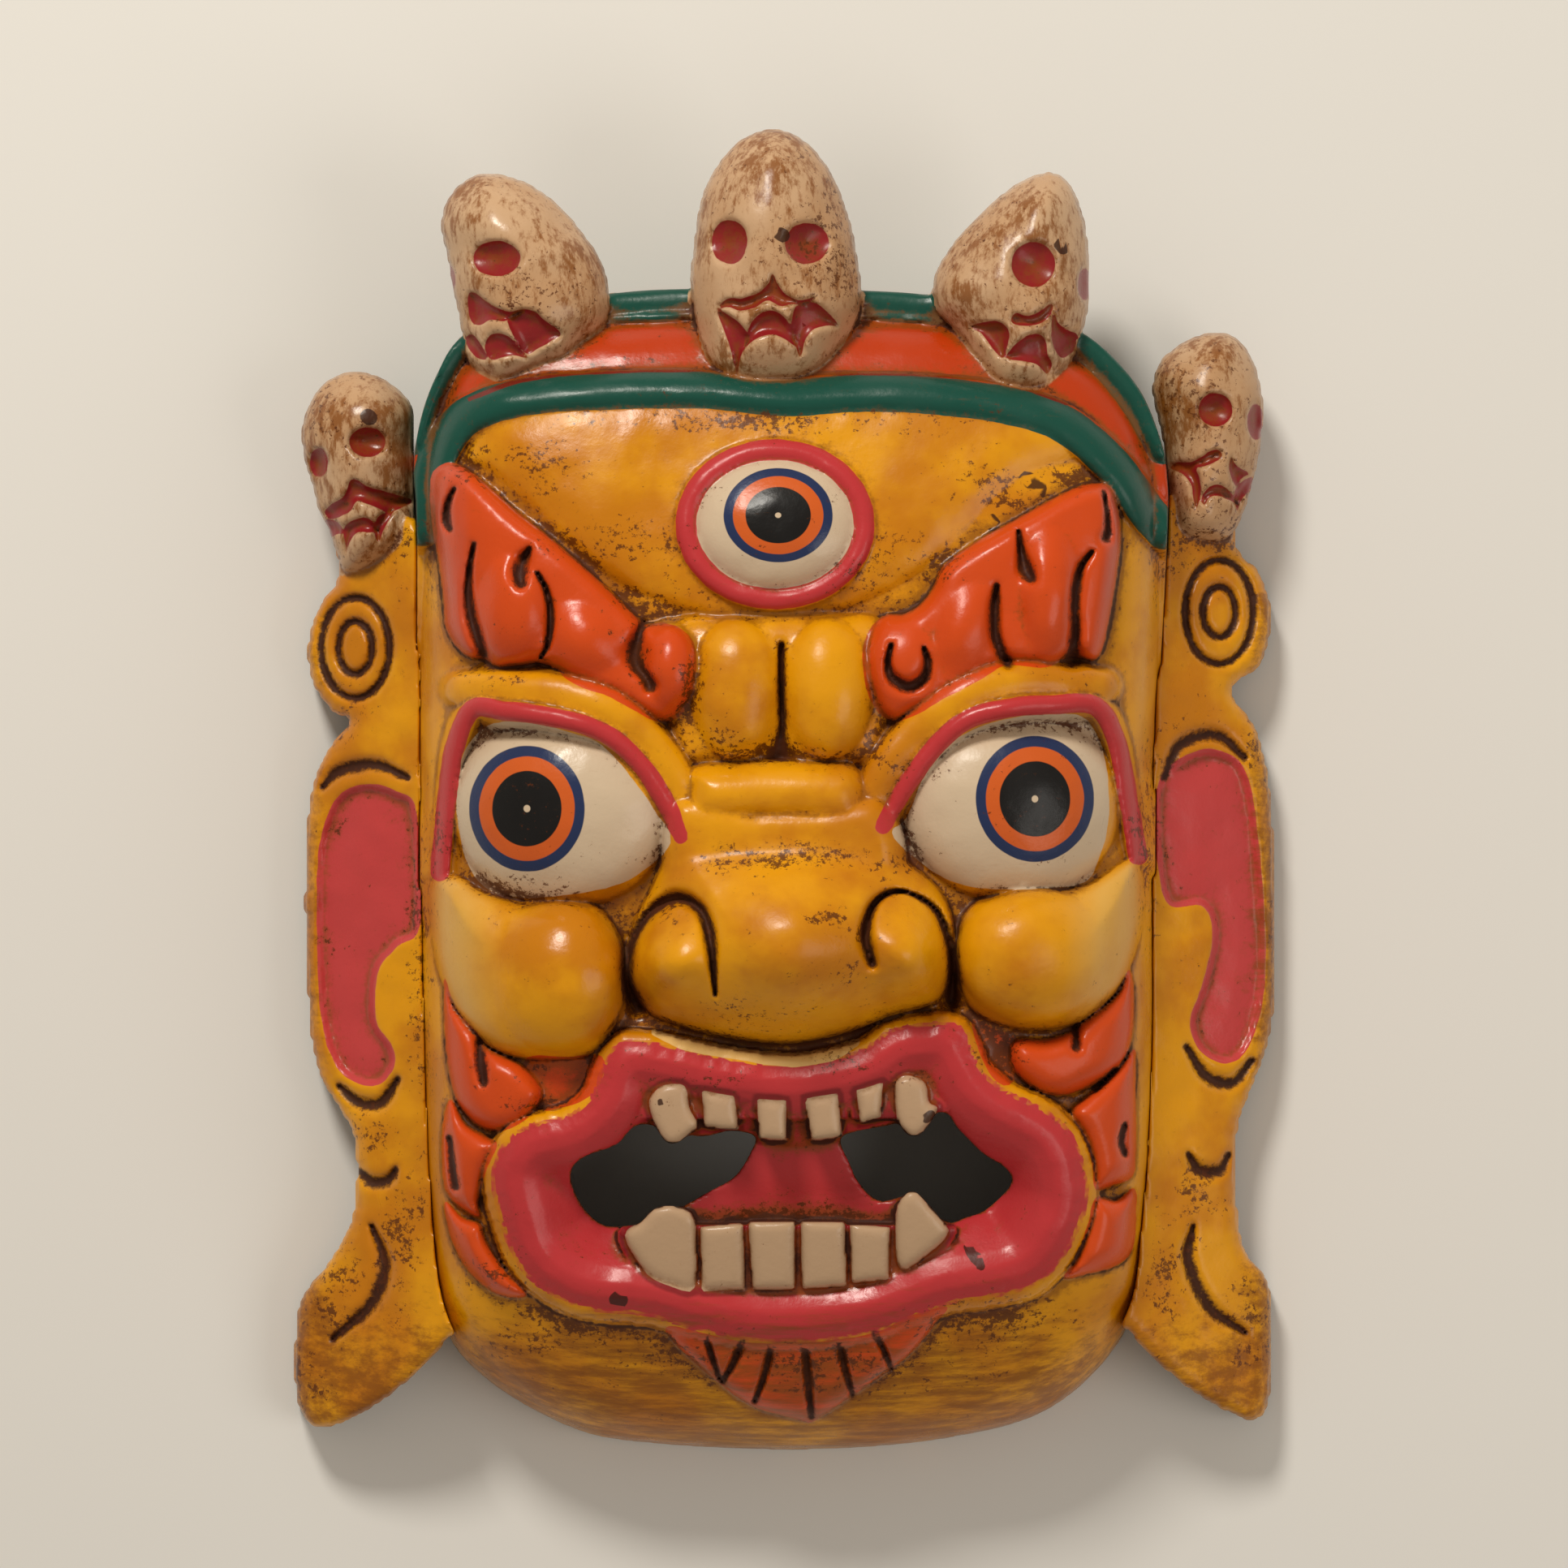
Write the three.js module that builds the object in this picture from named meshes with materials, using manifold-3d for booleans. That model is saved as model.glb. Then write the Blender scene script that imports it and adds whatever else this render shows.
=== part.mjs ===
// A carved and painted wooden dance mask of a wrathful guardian, lying face up on the rim of its hollow back.
// Millimetres. +X runs across the face, +Y up towards the crown of skulls, +Z out of the face, from the rim up.
// It is three pieces of wood: the face block with the crown, and a side board with an ear and a skull on
// each side.
import * as THREE from "three";
import { mergeVertices } from "three/addons/utils/BufferGeometryUtils.js";
import Module from "manifold-3d";

const wasm = await Module();
wasm.setup();

// Layout sizes are those seen from the front, from this far off. What stands nearer looks larger, so it is
// drawn in at the end.
const EYE_DISTANCE = 1500;

// The face block: a domed shell on its rim.
const RIM_MIDDLE = { x: 0, y: -25 };
const RIM = [
  [-113, 76], [-113, 0], [-112, -80], [-110, -135], [-105, -165], [-92, -182], [-66, -197], [-41, -202],
  [8, -204], [53, -200], [84, -190], [106, -166], [112, -135], [114.5, -80], [114.5, 0], [118, 77],
  [118, 95], [116, 107], [108.5, 124], [93.5, 139], [75, 146], [49, 151], [24, 153], [-29, 153.5],
  [-54, 152], [-80, 148], [-99, 139], [-107, 127], [-112, 113], [-114, 98],
];
const DOME_POWER = 4.5;
const DOME_HEIGHTS = [[-204, 58], [-160, 68], [-115, 75], [-60, 78], [0, 80], [70, 82], [153, 82]];
const DRAPE_LIMIT = 0.965; // relief past this share of the way to the rim stays at the height it has there
const WALL = 15;
const SHELL = 17;
const JOINT_GAP = 0.35;
const RIM_SPOKES = 34;
const PRISM_LOW = -10;
const PRISM_HIGH = 200;
const PRISM_CLEARANCE = 0.05;

// The side boards slope back from the face to their outer edge.
const BOARD = { inner: 113, front: 41, thickness: 16, slope: 0.64, bevel: 4 };

const PAINT = {
  face: new THREE.MeshStandardMaterial({ color: 0xd9930f, roughness: 0.35, metalness: 0 }),
  ear: new THREE.MeshStandardMaterial({ color: 0xc98612, roughness: 0.4, metalness: 0 }),
};

const TAU = Math.PI * 2;

// Value at y of a line through [y, value] pairs, level past its ends.
function along(pairs, y) {
  if (y <= pairs[0][0]) return pairs[0][1];
  for (let i = 1; i < pairs.length; i++) {
    const [y0, v0] = pairs[i - 1];
    const [y1, v1] = pairs[i];
    if (y <= y1) return v0 + ((v1 - v0) * (y - y0)) / (y1 - y0);
  }
  return pairs[pairs.length - 1][1];
}

// A smooth closed line through flat points, as equally spaced points.
function smoothOutline(points, count) {
  const corners = points.map(([x, y]) => new THREE.Vector3(x, y, 0));
  const curve = new THREE.CatmullRomCurve3(corners, true, "centripetal");
  return curve.getSpacedPoints(count).slice(0, count);
}

// The reach of an outline from a point inside it, as a function of the angle.
function reachOf(points, middle) {
  const polar = smoothOutline(points, 360)
    .map((p) => [Math.atan2(p.y - middle.y, p.x - middle.x), Math.hypot(p.x - middle.x, p.y - middle.y)])
    .sort((a, b) => a[0] - b[0]);
  const first = polar[0];
  const last = polar[polar.length - 1];
  const round = [[last[0] - TAU, last[1]], ...polar, [first[0] + TAU, first[1]]];
  return (angle) => along(round, angle);
}

const rimReach = reachOf(RIM, RIM_MIDDLE);

function domeShare(share) {
  return Math.pow(Math.max(0, 1 - Math.pow(share, DOME_POWER)), 1 / DOME_POWER);
}

// Height of the plain dome at a place on the front, on which the carving stands.
function domeHeight(x, y) {
  const dx = x - RIM_MIDDLE.x;
  const dy = y - RIM_MIDDLE.y;
  const share = Math.min(DRAPE_LIMIT, Math.hypot(dx, dy) / rimReach(Math.atan2(dy, dx)));
  return along(DOME_HEIGHTS, y) * domeShare(share);
}

function solidOf(geometry) {
  geometry.deleteAttribute("normal");
  geometry.deleteAttribute("uv");
  const merged = mergeVertices(geometry, 1e-4);
  return new wasm.Manifold(
    new wasm.Mesh({
      numProp: 3,
      vertProperties: new Float32Array(merged.attributes.position.array),
      triVerts: new Uint32Array(merged.index.array),
    }),
  );
}

// Lifts a shape whose heights are above the dome onto the dome.
function draped(geometry) {
  const place = geometry.attributes.position;
  for (let i = 0; i < place.count; i++) {
    place.setZ(i, place.getZ(i) + domeHeight(place.getX(i), place.getY(i)));
  }
  return solidOf(geometry);
}

// A closed surface from rings of points of equal count, ended by a point at each end.
function ringSurface(rings, firstTip, lastTip) {
  const count = rings[0].length;
  const positions = rings.flat(2);
  const tips = firstTip ? [firstTip, lastTip] : [];
  const firstAt = rings.length * count;
  positions.push(...tips.flat());
  const faces = [];
  const spans = firstTip ? rings.length - 1 : rings.length;
  for (let i = 0; i < spans; i++) {
    const here = i * count;
    const next = ((i + 1) % rings.length) * count;
    for (let j = 0; j < count; j++) {
      const k = (j + 1) % count;
      faces.push(here + j, here + k, next + k, here + j, next + k, next + j);
    }
  }
  if (firstTip) {
    const end = (rings.length - 1) * count;
    for (let j = 0; j < count; j++) {
      const k = (j + 1) % count;
      faces.push(firstAt, k, j, firstAt + 1, end + j, end + k);
    }
  }
  const geometry = new THREE.BufferGeometry();
  geometry.setAttribute("position", new THREE.BufferAttribute(new Float32Array(positions), 3));
  geometry.setIndex(faces);
  return geometry;
}

// Cross-sections of a roll as [across, up] in radii. The first two are let into the wood below.
const HALF_ROUND = [[1, -0.7], [0.62, 0.8], [-0.62, 0.8], [-1, -0.7]];
const GABLE = [[1, -0.7], [0, 1], [-1, -0.7]];
const DIAMOND = [[1, 0], [0, 1], [-1, 0], [0, -1]];

// A roll of wood along [x, y, height, radius] points. tall is its height over its width.
function roll(points, { tall = 1, steps, section = HALF_ROUND, closed = false }) {
  const curve = (places) => new THREE.CatmullRomCurve3(places, closed, "centripetal");
  const line = curve(points.map(([x, y, z]) => new THREE.Vector3(x, y, z)));
  const radii = curve(points.map((p) => new THREE.Vector3(p[3], 0, 0)));
  const rings = [];
  const count = closed ? steps : steps + 1;
  for (let i = 0; i < count; i++) {
    const t = i / steps;
    const middle = line.getPoint(t);
    const way = line.getTangent(t);
    const across = new THREE.Vector2(-way.y, way.x).normalize();
    const end = closed ? 1 : Math.min(1, 0.6 + 0.4 * Math.min(i, steps - i));
    const r = radii.getPoint(t).x * end;
    rings.push(
      section.map(([out, up]) => {
        return [middle.x + across.x * out * r, middle.y + across.y * out * r, middle.z + up * r * tall];
      }),
    );
  }
  if (closed) return ringSurface(rings);
  const tip = (t, back) => {
    const p = line.getPoint(t);
    const way = line.getTangent(t).multiplyScalar(back * radii.getPoint(t).x * 0.75);
    return [p.x + way.x, p.y + way.y, p.z];
  };
  return ringSurface(rings, tip(0, -1), tip(1, 1));
}

// An egg-shaped lump: half-width, upward and downward half-heights and half-depth about its widest place.
function lump({ x, y, z = 0, rx, up, down = up, rz, turn = 0, detail = 8, levels }) {
  const geometry = new THREE.SphereGeometry(1, detail, levels ?? Math.round(detail * 0.6));
  geometry.rotateX(Math.PI / 2);
  const place = geometry.attributes.position;
  for (let i = 0; i < place.count; i++) {
    const v = place.getY(i);
    place.setXYZ(i, place.getX(i) * rx, v * (v > 0 ? up : down), place.getZ(i) * rz);
  }
  return geometry.rotateZ(THREE.MathUtils.degToRad(turn)).translate(x, y, z);
}

const flat = (points) => points.map(([x, y]) => ({ x, y }));

// A flat board of an outline, from one height to another, its front edge rounded by bevel.
function board(outline, low, high, bevel = 0) {
  const shape = new THREE.Shape(outline.map((p) => new THREE.Vector2(p.x, p.y)));
  return new THREE.ExtrudeGeometry(shape, {
    depth: high - low - 2 * bevel,
    bevelEnabled: bevel > 0,
    bevelThickness: bevel,
    bevelSize: bevel,
    bevelOffset: -bevel,
    bevelSegments: 1,
    curveSegments: 1,
  }).translate(0, 0, low + bevel);
}

function ellipse(x, y, rx, ry, height, radius, count = 12) {
  return Array.from({ length: count }, (_, i) => {
    const a = (i / count) * TAU;
    return [x + Math.cos(a) * rx, y + Math.sin(a) * ry, height, radius];
  });
}

function joined(solids) {
  return solids.reduce((all, one) => all.add(one));
}

function cut(solid, cutters) {
  return cutters.reduce((left, one) => left.subtract(one), solid);
}

// The dome, or the hollow in it: inset from the rim, lowered, and carried down past the rim by skirt.
function dome({ inset = 0, lowered = 0, skirt = 0, spokes = 64, shares }) {
  const outline = smoothOutline(RIM, spokes);
  const ring = (share, height) =>
    outline.map((p) => {
      const dx = p.x - RIM_MIDDLE.x;
      const dy = p.y - RIM_MIDDLE.y;
      const reach = Math.hypot(dx, dy);
      const scale = (share * (reach - inset)) / reach;
      const x = RIM_MIDDLE.x + dx * scale;
      const y = RIM_MIDDLE.y + dy * scale;
      return [x, y, height ?? (along(DOME_HEIGHTS, y) - lowered) * domeShare(share)];
    });
  const rings = [...(skirt ? [ring(1, -skirt)] : []), ring(1, 0), ...shares.map((s) => ring(s)).reverse()];
  const top = [RIM_MIDDLE.x, RIM_MIDDLE.y, along(DOME_HEIGHTS, RIM_MIDDLE.y) - lowered];
  return solidOf(ringSurface(rings, [RIM_MIDDLE.x, RIM_MIDDLE.y, -skirt], top));
}

// Places seen from the front, each [x, y, height above the dome, radius].
const BAND = {
  lower: [
    [-111, 80, 1, 5], [-107, 101, 1, 5.5], [-98, 114, 1, 5.5], [-81, 119.5, 1, 5.5], [-56, 122, 1, 5.5],
    [-26, 122.5, 1, 5.5], [0, 120, 1, 5.5], [24, 121.5, 1, 5.5], [47, 120.5, 1, 5.5], [69, 117.5, 1, 5.5],
    [86, 113, 1, 5.5], [101, 99.5, 1, 5.5], [111, 86, 1, 5.5], [116, 79, 1, 4.5],
  ],
  upper: [
    [-113, 108, 0, 4], [-108, 124, 0, 4.5], [-97, 138, 0, 5], [-75, 145, 0, 5], [-40, 148, 0, 5.5],
    [0, 149, 0, 5.5], [35, 147.5, 0, 5.5], [70, 144, 0, 5], [92, 136, 0, 5], [106, 122, 0, 4.5],
    [116, 105, 0, 4],
  ],
};

// Each skull is a rounded stone of wood: z is the height of its edge, rise how far its front stands out.
// Sockets are [x, y, half-width, half-height]. The nose and the gaps of the grin also have a turn in degrees.
const SKULLS = {
  middle: {
    z: 60,
    rise: 26,
    middle: { x: -2.5, y: 155 },
    outline: [
      [-2, 203.3], [-16.8, 197.3], [-23.8, 187.5], [-28.3, 167.3], [-28.8, 147.5], [-26, 132.5],
      [-18.5, 122.5], [-5.3, 120.3], [13, 127.3], [23.5, 144.3], [23, 165], [14.8, 190.3],
    ],
    sockets: [[-16.8, 168, 5.5, 6.8], [7, 167.5, 6.8, 6.3]],
    gaps: [[-4, 153, 11, 3.6, 0], [-16, 141.5, 4, 7, 15], [-3, 141, 6, 4.4, 0], [9.5, 143, 5.5, 6.5, -15]],
  },
  left: {
    z: 54,
    rise: 24,
    middle: { x: -82, y: 156 },
    outline: [
      [-94.8, 189.5], [-105.5, 178.3], [-104.3, 163.8], [-101.8, 149.5], [-98.5, 131.3], [-88, 121],
      [-71.5, 127], [-55, 140], [-55.3, 161.3], [-70.8, 181.5],
    ],
    sockets: [[-88.5, 162.8, 7.2, 5.5], [-103.3, 155.8, 2.2, 5.5]],
    gaps: [
      [-89, 147, 8.5, 3.2, 0], [-77.5, 142.5, 6.5, 4.5, -20], [-86, 136.5, 6, 3.2, 0], [-95.8, 136, 3.2, 4.2, 0],
    ],
  },
  right: {
    z: 54,
    rise: 24,
    middle: { x: 73, y: 155 },
    outline: [
      [84, 189.8], [65.8, 182.5], [47.3, 161.3], [46, 146.3], [55.8, 130.8], [64.8, 119.3], [75.5, 117.3],
      [89.5, 130.8], [94.8, 152.5], [93, 175.3],
    ],
    sockets: [[76.8, 161, 6.7, 7], [92.5, 155, 2.2, 5]],
    gaps: [[76, 145, 7.5, 3, 10], [64, 137, 4.5, 6, 0], [75, 134.5, 4.6, 4.4, 0], [86.3, 135, 3.6, 5.5, 0]],
  },
  outerLeft: {
    z: 24,
    rise: 20,
    middle: { x: -130, y: 97 },
    outline: [
      [-131.5, 128.8], [-146, 120], [-149, 105], [-144, 85], [-135.3, 65.5], [-115.3, 72.5], [-113, 87.5],
      [-114, 117.3],
    ],
    sockets: [[-127.8, 105.3, 5.5, 4], [-143.3, 99.3, 3, 4.5]],
    gaps: [[-127, 90.5, 10, 3.2, 0], [-138.5, 82, 3, 4, -30], [-129, 80, 5.5, 2.8, 0]],
  },
  outerRight: {
    z: 24,
    rise: 20,
    middle: { x: 131, y: 108 },
    outline: [
      [132.3, 141], [116, 132.5], [113.5, 117.5], [117, 92.5], [122.3, 75.5], [136, 75.5], [144.3, 91],
      [148.3, 116.3], [144.8, 132.5],
    ],
    sockets: [[133.8, 115.3, 5.5, 5], [144.5, 111, 2.5, 5.5]],
    gaps: [[131, 98.5, 12, 3.4, 0], [122.8, 88.5, 2.6, 3.2, 0], [133.5, 88.5, 5, 3, 0]],
  },
};
const SOCKET_DEPTH = 7;
const GAP_DEPTH = 6;

function skull({ z, rise, middle, outline, sockets, gaps }) {
  const line = smoothOutline(outline, 14);
  const ring = (share, side) =>
    line.map((p) => [
      middle.x + (p.x - middle.x) * share,
      middle.y + (p.y - middle.y) * share,
      z + side * rise * Math.sqrt(1 - share * share),
    ]);
  const rings = [ring(0.7, -1), ring(1, 1), ring(0.88, 1), ring(0.5, 1)];
  const body = solidOf(ringSurface(rings, [middle.x, middle.y, z - rise], [middle.x, middle.y, z + rise]));
  const reach = reachOf(outline, middle);
  const frontAt = (x, y) => {
    const share = Math.hypot(x - middle.x, y - middle.y) / reach(Math.atan2(y - middle.y, x - middle.x));
    return z + rise * Math.sqrt(Math.max(0.1, 1 - share * share));
  };
  const pit = (rz) => ([x, y, rx, up, turn]) =>
    solidOf(lump({ x, y, z: frontAt(x, y), rx, up, rz, turn, detail: 6, levels: 2 }));
  return cut(body, [...sockets.map(pit(SOCKET_DEPTH)), ...gaps.map(pit(GAP_DEPTH))]);
}

const FOREHEAD = { x: -2, y: 110, z: -2, rx: 103, up: 34, down: 58, rz: 6, detail: 10 };
const THIRD_EYE = {
  ball: { x: -3, y: 80.5, z: 0, rx: 25, up: 21, rz: 13, detail: 12 },
  ring: ellipse(-3, 81, 28, 23, 3, 4),
};

const EYES = [
  {
    ball: { x: -68, y: -5, z: -3, rx: 36, up: 27, rz: 18 },
    lid: [
      [-100, 30, 5, 5], [-86, 30, 7, 6], [-70, 28, 8, 7], [-55, 24, 9, 7], [-43, 15, 8, 6], [-34, 3, 7, 6],
      [-29, -12, 5, 5],
    ],
    edge: [
      [-106, -26, 1, 3], [-103, 5, 3, 3.5], [-97, 24, 8, 3.5], [-86, 23, 11, 3], [-71, 21, 13, 3],
      [-56, 16.5, 12, 3], [-45, 8, 10, 3], [-37, -4, 8, 3], [-32, -15, 5, 2.5],
    ],
  },
  {
    ball: { x: 70, y: -4, z: -3, rx: 35, up: 27, rz: 18 },
    lid: [
      [98, 31, 5, 5], [85, 32, 7, 6], [70, 32, 8, 7], [55, 27, 9, 7], [42, 18, 8, 6], [31, 5, 7, 6],
      [25, -10, 5, 5],
    ],
    edge: [
      [109, -21, 1, 3], [104.5, 6, 3, 3.5], [96, 25, 8, 3.5], [83, 25.5, 11, 3], [70, 24.5, 13, 3],
      [57, 21, 12, 3], [47, 13, 10, 3], [38, 1, 8, 3], [30.5, -12, 5, 2.5],
    ],
  },
];

const CHEEKS = [
  { x: -72, y: -57, z: -2, rx: 26, up: 25, rz: 24 },
  { x: -84, y: -43, z: -6, rx: 22, up: 16, rz: 15 },
  { x: 81, y: -53, z: -2, rx: 27, up: 23, rz: 24 },
  { x: 88, y: -39, z: -6, rx: 20, up: 16, rz: 15 },
];

const NOSE = [
  { x: 1, y: -49, z: 6, rx: 35, up: 28, down: 27, rz: 35, detail: 10 },
  { x: 0, y: -33, z: 2, rx: 36, up: 20, down: 30, rz: 29 },
  { x: -34.5, y: -53, z: 4, rx: 14.5, up: 18, rz: 25 },
  { x: 38, y: -52, z: 4, rx: 14.5, up: 18, rz: 25 },
];
const NOSTRIL_GROOVES = [
  [
    [-22, -64, 28, 1], [-22.5, -46, 30, 2], [-28, -35, 27, 2], [-40, -36, 20, 2], [-47.5, -47, 14, 2],
    [-48.5, -60, 12, 2],
  ],
  [
    [27.3, -55, 28, 1.5], [25.3, -43, 29, 2], [32, -33, 26, 2], [43, -35, 20, 2], [51, -46, 14, 2],
    [52, -62, 12, 2],
  ],
];
const BRIDGE = [[-19, -2.5, 5, 12], [-2, -3, 6, 12.5], [16, -2.5, 5, 12]];
const FROWN = [
  { x: -13.5, y: 30, z: 0, rx: 12, up: 19, rz: 15 },
  { x: 12, y: 30.5, z: 0, rx: 12, up: 19, rz: 15 },
];

// Each brow is a flame-shaped board of this outline, standing on the dome, with its thick lobes and its cuts.
const BROWS = {
  low: -8,
  high: 11,
  bevel: 3,
  outlines: [
    [
      [-105, 100], [-91.5, 95], [-76.5, 80], [-56, 62], [-47.5, 51], [-42, 50], [-34, 51.5], [-27.5, 45],
      [-26.5, 33], [-36.5, 20.5], [-51.5, 27.5], [-66.5, 32.5], [-75, 38], [-86.5, 37], [-93, 43],
      [-101.5, 40], [-108, 49], [-109, 80],
    ],
    [
      [24, 47.5], [24, 32], [30, 19.5], [43.5, 26], [63.5, 35], [84, 37.5], [95, 38.5], [105.5, 52],
      [106, 82], [100, 93.5], [91, 92.5], [68.5, 80], [45, 62.5], [41, 56], [31, 52.5],
    ],
  ],
  lumps: [
    { x: -84, y: 54, z: 4, rx: 12, up: 19, down: 16, rz: 13 },
    { x: -62, y: 46, z: 4, rx: 14, up: 11, rz: 11, turn: -40 },
    { x: -35, y: 37, z: 6, rx: 8.5, up: 13, rz: 11 },
    { x: 82, y: 60, z: 5, rx: 10, up: 22, down: 22, rz: 12 },
    { x: 56, y: 49, z: 4, rx: 10, up: 16, rz: 11, turn: -20 },
    { x: 37, y: 38, z: 4, rx: 12, up: 14, rz: 11 },
  ],
  cuts: [
    [[-79, 72, 14, 2], [-80.5, 66, 14, 3], [-81, 63, 14, 2]],
    [[-46, 50, 12, 2], [-47, 41, 13, 3], [-43, 33, 14, 2.5], [-39, 30, 15, 2]],
    [[72, 74, 14, 2], [75, 66, 15, 3], [76, 61, 15, 2]],
    [[62, 58, 14, 1.5], [61, 47, 13, 2.5], [65, 37, 10, 2.5]],
    [[32, 33, 14, 2], [37, 31, 15, 3], [43, 34, 14, 2.5]],
    [[90, 72, 12, 2], [88, 58, 12, 2.5], [90, 44, 8, 2.5]],
  ],
};

const WHISKERS = [
  [[-104, -66, 0, 4], [-102, -84, 1, 6], [-93, -96, 2, 8], [-83, -96, 3, 7], [-78, -90, 3, 6]],
  [[-104, -98, 0, 4], [-102, -112, 1, 6], [-97, -124, 2, 5]],
  [[-103, -128, 0, 4], [-98, -141, 1, 6], [-86, -153, 1, 4]],
  [[104, -62, 0, 4], [102, -76, 1, 6], [93, -86, 2, 7], [81, -86, 3, 8], [73, -80, 3, 6]],
  [[104, -88, 0, 5], [101, -103, 2, 7], [101, -118, 1, 6]],
  [[103, -124, 0, 5], [98, -137, 1, 6], [88, -148, 1, 4]],
];

// Each lock of the beard as [root x, root y, tip x, tip y].
const BEARD = [
  [-27, -168, -20, -178], [-13, -172, -9, -186], [2, -174, 5, -194], [17, -173, 18, -190],
  [31, -169, 29, -182], [43, -164, 38, -173],
];

const LIPS = [
  [3.5, -88, 5, 5.5], [-16, -87.5, 5, 5.5], [-34, -86, 4, 6], [-47, -87, 3, 7], [-54, -95, 2, 9],
  [-66, -104, 1, 9], [-77, -111, 0, 9.5], [-80.5, -121, 0, 11], [-77, -134, 1, 11.5],
  [-67, -145.5, 2, 10.5], [-52, -153, 3, 9.5], [-33, -160, 4, 8.5], [-15, -163, 5, 8], [4, -164, 5, 8],
  [24, -162.5, 5, 8], [44, -157, 4, 8.5], [64, -149, 3, 9.5], [79, -137, 2, 11], [83.5, -122, 1, 11],
  [79, -108, 0, 10], [68, -99, 1, 9], [57, -94, 2, 8], [49, -86, 3, 7], [38, -84, 4, 6],
  [20, -86.5, 5, 5.5],
];
const LIP_RIDGE = [[-46, -76, 3, 4], [-20, -80, 7, 4], [5, -83, 8, 4], [30, -79, 7, 4], [52, -72, 3, 4]];
const MOUTH = [
  [-67, -117], [-61, -111], [-50, -106], [-43, -99], [-41, -93], [-26, -92], [0, -93], [21, -92], [35, -90],
  [46, -90], [49, -98], [56, -105], [68, -114], [72, -122], [68, -132], [56, -136], [50, -143], [36, -151],
  [18, -155], [-2, -155.5], [-24, -154.5], [-39, -150], [-48, -140], [-59, -136], [-66.5, -128],
];
const GUMS = [
  [[-50, -90, -6, 5], [-38, -93, -4, 6], [3, -97, -3, 6], [44, -91, -4, 6], [54, -88, -6, 5]],
  [[-50, -144, -6, 6], [-36, -149, -5, 7], [4, -152, -4, 8], [44, -146, -5, 7], [56, -140, -6, 6]],
];
const TONGUE = [
  [4, -152, -10, 26], [4.5, -140, -10, 24], [4, -126, -9, 15], [3.5, -112, -9, 13], [3.5, -98, -9, 13],
];

// Each tooth is [x, root y, tip y, half-width at the root, half-width at the tip].
const TEETH = [
  [-34, -89, -110, 7, 3.5], [-20, -91, -104.5, 6, 5.5], [-3.5, -93, -109, 5.5, 5],
  [11.5, -92, -108, 5.8, 5.5], [26.8, -90, -104.5, 4.8, 4.2], [41, -87, -108, 6.5, 3],
  [-36, -156, -129, 9.5, 3.5], [-19.3, -156, -135.5, 6.4, 6], [-4, -157, -136, 6.8, 6.4],
  [11.3, -157, -137, 6.6, 6.4], [26, -155, -138, 6.6, 6.2], [42, -152, -123, 8, 3],
];
const TOOTH_FRONT = 9;
const TOOTH_BACK = -8;
const TOOTH_TAPER = 0.72; // its front is this much of its width at the back

// A tooth is a blunt wedge, narrower in front, and its tip is chamfered by the taper too.
function tooth([x, root, tip, rootHalf, tipHalf]) {
  const corners = [[-rootHalf, root], [rootHalf, root], [tipHalf, tip], [-tipHalf, tip]];
  const ring = (share, height) => corners.map(([across, y]) => [x + across * share, y, height]);
  const rings = [ring(1, TOOTH_BACK), ring(TOOTH_TAPER, TOOTH_FRONT)];
  if (tip < root) for (const line of rings) line.reverse();
  return draped(ringSurface(rings, [x, root, TOOTH_BACK], [x, (root + tip) / 2, TOOTH_FRONT]));
}

function carving() {
  const rolls = [
    roll(BAND.lower, { steps: 12 }), roll(BAND.upper, { steps: 10, section: GABLE }),
    roll(BRIDGE, { steps: 3 }), roll(THIRD_EYE.ring, { steps: 14, closed: true, section: GABLE }),
    roll(LIPS, { steps: 25, closed: true, tall: 1.05 }), roll(LIP_RIDGE, { steps: 4, section: GABLE }),
    ...EYES.flatMap(({ lid, edge }) => [roll(lid, { steps: 6 }), roll(edge, { steps: 7, section: GABLE })]),
    ...BROWS.outlines.map((line) => board(flat(line), BROWS.low, BROWS.high, BROWS.bevel)),
    ...WHISKERS.map((line) => roll(line, { steps: 3, section: GABLE })),
    ...BEARD.map(([x, y, tipX, tipY]) => roll([[x, y, 2, 5], [tipX, tipY, 1, 4]], { steps: 1, section: GABLE })),
  ];
  const eyeballs = [THIRD_EYE.ball, ...EYES.map((eye) => eye.ball)];
  const lumps = [FOREHEAD, ...eyeballs, ...CHEEKS, ...NOSE, ...FROWN, ...BROWS.lumps];
  return [...rolls, ...lumps.map(lump)].map(draped);
}

// An upright prism on the rim line, grown outwards: the face block stays inside it, the side boards outside.
function rimPrism(grown) {
  const outline = smoothOutline(RIM, RIM_SPOKES).map((p) => {
    const dx = p.x - RIM_MIDDLE.x;
    const dy = p.y - RIM_MIDDLE.y;
    const scale = 1 + grown / Math.hypot(dx, dy);
    return { x: RIM_MIDDLE.x + dx * scale, y: RIM_MIDDLE.y + dy * scale };
  });
  return solidOf(board(outline, PRISM_LOW, PRISM_HIGH));
}

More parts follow.
